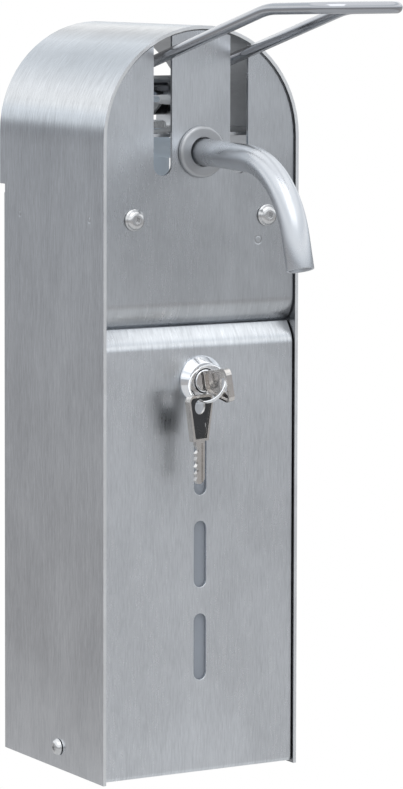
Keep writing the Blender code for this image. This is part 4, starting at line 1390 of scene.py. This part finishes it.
@dataclass
class Fixings(Assembly):
    """Screws, nuts and rivets."""

    panel_screw: ScrewSize = ScrewSize(0.0049, 0.0043, 0.0027, 0.0030, 0.0016, 0.0024, 0.0110)
    pivot_screw: ScrewSize = ScrewSize(0.0038, 0.0034, 0.0022, 0.0025, 0.0013, 0.0019, 0.0070)

    def build(self) -> None:
        """Builds the button-head screws and dresses the other fixings."""
        for name, side in (("left", -1), ("right", 1)):
            seat = (side * 0.034, FRONT + 0.0010, FOOT + 0.2507)
            self._button_head(f"panel_screw_{name}", self.panel_screw, seat, (-math.pi / 2, 0.0, 0.0))
            seat = (side * 0.0503, FRONT + 0.0422, FOOT + 0.0099)
            self._button_head(
                f"door_pivot_screw_{name}", self.pivot_screw, seat, (0.0, -side * math.pi / 2, 0.0),
            )
            self.ease(f"panel_nut_{name}", "screw_zinc", 0.00015)
            self.ease(f"pivot_nut_{name}", "screw_zinc", 0.00015)
            self.keep(
                "screw_zinc", f"tray_rivet_{name}", f"wall_screw_lower_{name}",
                f"wall_screw_upper_{name}",
            )

    def _button_head(self, node: str, size: ScrewSize, seat: Triple, turn: Triple) -> None:
        """A flanged dome with a six-sided socket, and its shank.

        Args:
            node: the CAD node it stands for.
            size: the screw's sizes.
            seat: where its head meets the sheet.
            turn: the turn that points its shank, drawn along +Z, the right way.
        """
        dome, height = size.dome, size.height
        profile = [(0.0, -height), (size.socket / 2 + 0.0007, -height)]
        for step in range(1, 7):
            angle = math.radians(90 - 11.5 * step)
            profile.append(
                (dome * (0.50 + 0.50 * math.cos(angle)), -height * (0.30 + 0.70 * math.sin(angle))),
            )
        profile += [
            (size.flange - 0.00035, -height * 0.30), (size.flange - 0.0001, -height * 0.24),
            (size.flange, -height * 0.16),
            (size.flange, -0.00005), (size.flange - 0.00005, 0.0), (size.shank, 0.0),
            (size.shank, size.length - 0.0003), (size.shank - 0.0003, size.length), (0.0, size.length),
        ]
        piece = Bench.lathe(f"{node}_turned", profile, (0, 0, 0), Axis.Z, 48)
        Bench.clear()
        bpy.ops.mesh.primitive_cylinder_add(
            vertices=6, radius=size.socket / math.sqrt(3), depth=size.socket_depth * 2, location=(
                0.0, 0.0, -height,
            )
        )
        Bench.cut(piece, bpy.context.view_layer.objects.active)
        Bench.eased(piece, 0.00006, 1, 40.0)
        piece.rotation_euler = turn
        piece.location = seat
        Bench.settle(piece, f"{node}_turned")
        Bench.smooth(piece, 30.0)
        self.hand_over(piece, "screw_zinc", [node])


# Studio


@dataclass
class Studio:
    """Camera, pale floor and soft light."""

    camera_place: Triple = (-0.84025, -1.54767, 0.22208)
    yaw: float = 0.5255
    pitch: float = -0.0774
    roll: float = 0.0026
    lens: float = 172.48
    rise: float = -0.20
    floor_height: float = -0.60
    floor_radius: float = 1.8

    def build(self) -> None:
        """Sets up the whole studio."""
        self._camera()
        self._floor()
        self._sky()
        self._lamps()

    def _camera(self) -> None:
        """A long lens a little above the dispenser, to its left."""
        data = bpy.data.cameras.new("studio_camera")
        data.sensor_width = 36.0
        data.lens = self.lens
        data.shift_y = self.rise
        data.clip_start, data.clip_end = 0.05, 60.0
        camera = bpy.data.objects.new("studio_camera", data)
        bpy.context.collection.objects.link(camera)
        level = math.cos(self.pitch)
        ahead = Vector((math.sin(self.yaw) * level, math.cos(self.yaw) * level, math.sin(self.pitch)))
        camera.location = self.camera_place
        camera.rotation_mode = "QUATERNION"
        camera.rotation_quaternion = ahead.to_track_quat("-Z", "Y") @ Quaternion(
            (0.0, 0.0, 1.0), self.roll,
        )
        bpy.context.scene.camera = camera

    def _floor(self) -> None:
        """A pale round floor some way below the dispenser."""
        Bench.clear()
        bpy.ops.mesh.primitive_circle_add(
            vertices=96, radius=self.floor_radius, fill_type="NGON",
            location=(0.0, 0.0, self.floor_height),
        )
        floor = bpy.context.view_layer.objects.active
        floor.name = "studio_floor"
        dress = Dress("pale_floor")
        cloud = dress.nodes.add("ShaderNodeTexNoise", {"Scale": 3.0})
        dress.nodes.join(dress.place, cloud.inputs["Vector"])
        tone = dress.nodes.spread(cloud.outputs["Fac"], 0.0, 1.0, 0.84, 0.88)
        # painted shade in reflections: the floor is darker where it is seen in the steel than where it is seen
        # directly
        mirrored = dress.nodes.add("ShaderNodeLightPath").outputs["Is Glossy Ray"]
        floor_darker_in_reflections = dress.nodes.sum("SUBTRACT", tone, dress.nodes.sum("MULTIPLY", mirrored, 0.35))
        dress.colour(floor_darker_in_reflections, (0.0, 0.0, 0.0), (1.0, 1.0, 1.0))
        dress.shader.inputs["Roughness"].default_value = 0.9
        floor.data.materials.append(dress.material)

    def _sky(self) -> None:
        """A white room: bright above the horizon, greyer below it, plain white as a backdrop."""
        world = bpy.data.worlds.new("studio_room")
        world.use_nodes = True
        nodes = Nodes(world.node_tree)
        background = world.node_tree.nodes["Background"]
        direction = nodes.add("ShaderNodeTexCoord").outputs["Generated"]
        apart = nodes.add("ShaderNodeSeparateXYZ")
        nodes.join(direction, apart.inputs[0])
        ramp = nodes.add("ShaderNodeValToRGB")
        stops = ramp.color_ramp.elements
        stops[0].position, stops[0].color = 0.0, (0.47, 0.44, 0.42, 1.0)
        stops[1].position, stops[1].color = 1.0, (1.20, 1.22, 1.25, 1.0)
        for position, colour in (
            (0.42, (0.455, 0.450, 0.455)), (0.487, (0.425, 0.440, 0.465)), (0.512, (0.44, 0.455, 0.48)),
            (0.537, (0.95, 1.00, 1.05)), (0.555, (1.02, 1.07, 1.12)), (0.580, (0.90, 0.95, 1.00)),
            (0.618, (1.42, 1.43, 1.43)), (0.655, (1.20, 1.21, 1.22)), (0.705, (1.02, 1.05, 1.08)),
            (0.745, (0.82, 0.88, 0.94)), (0.800, (1.28, 1.30, 1.32)), (0.950, (1.34, 1.36, 1.38)),
        ):
            stop = stops.new(position)
            stop.color = (*colour, 1.0)
        nodes.join(nodes.spread(apart.outputs["Z"], -1.0, 1.0), ramp.inputs["Fac"])
        seen = nodes.add("ShaderNodeLightPath").outputs["Is Camera Ray"]
        mix = nodes.add("ShaderNodeMix", data_type="RGBA")
        nodes.join(seen, mix.inputs[0])
        nodes.join(ramp.outputs["Color"], mix.inputs[6])
        mix.inputs[7].default_value = (1.0, 1.0, 1.0, 1.0)
        nodes.join(mix.outputs[2], background.inputs["Color"])
        background.inputs["Strength"].default_value = 1.0
        bpy.context.scene.world = world
        bpy.context.scene.view_settings.view_transform = "Standard"

    def _lamps(self) -> None:
        """A wide soft lamp above and in front."""
        for name, place, aim, size, power in (
            ("top_softbox", (-0.5, -1.2, 1.9), (0.0, -0.05, 0.0), 1.8, 9.0),
        ):
            data = bpy.data.lights.new(name, "AREA")
            data.shape = "SQUARE"
            data.size = size
            data.energy = power
            lamp = bpy.data.objects.new(name, data)
            bpy.context.collection.objects.link(lamp)
            lamp.location = place
            lamp.rotation_mode = "QUATERNION"
            lamp.rotation_quaternion = (Vector(aim) - Vector(place)).to_track_quat("-Z", "Y")


def main() -> None:
    """Builds the studio and every sub-assembly in order."""
    logging.basicConfig(level=logging.INFO, format="%(name)s %(message)s")
    Studio().build()
    finishes = Finishes()
    assemblies = [
        CaseWork(finishes), DoorUnit(finishes), LockUnit(finishes), KeySet(finishes), LeverUnit(finishes),
        SpoutUnit(finishes), PumpUnit(finishes), BottleUnit(finishes), Fixings(finishes),
    ]
    for assembly in assemblies:
        assembly.build()
        LOG.info("%s: %d new pieces", type(assembly).__name__, len(assembly.made))
    Bench.clear()


if __name__ == "__main__":
    main()
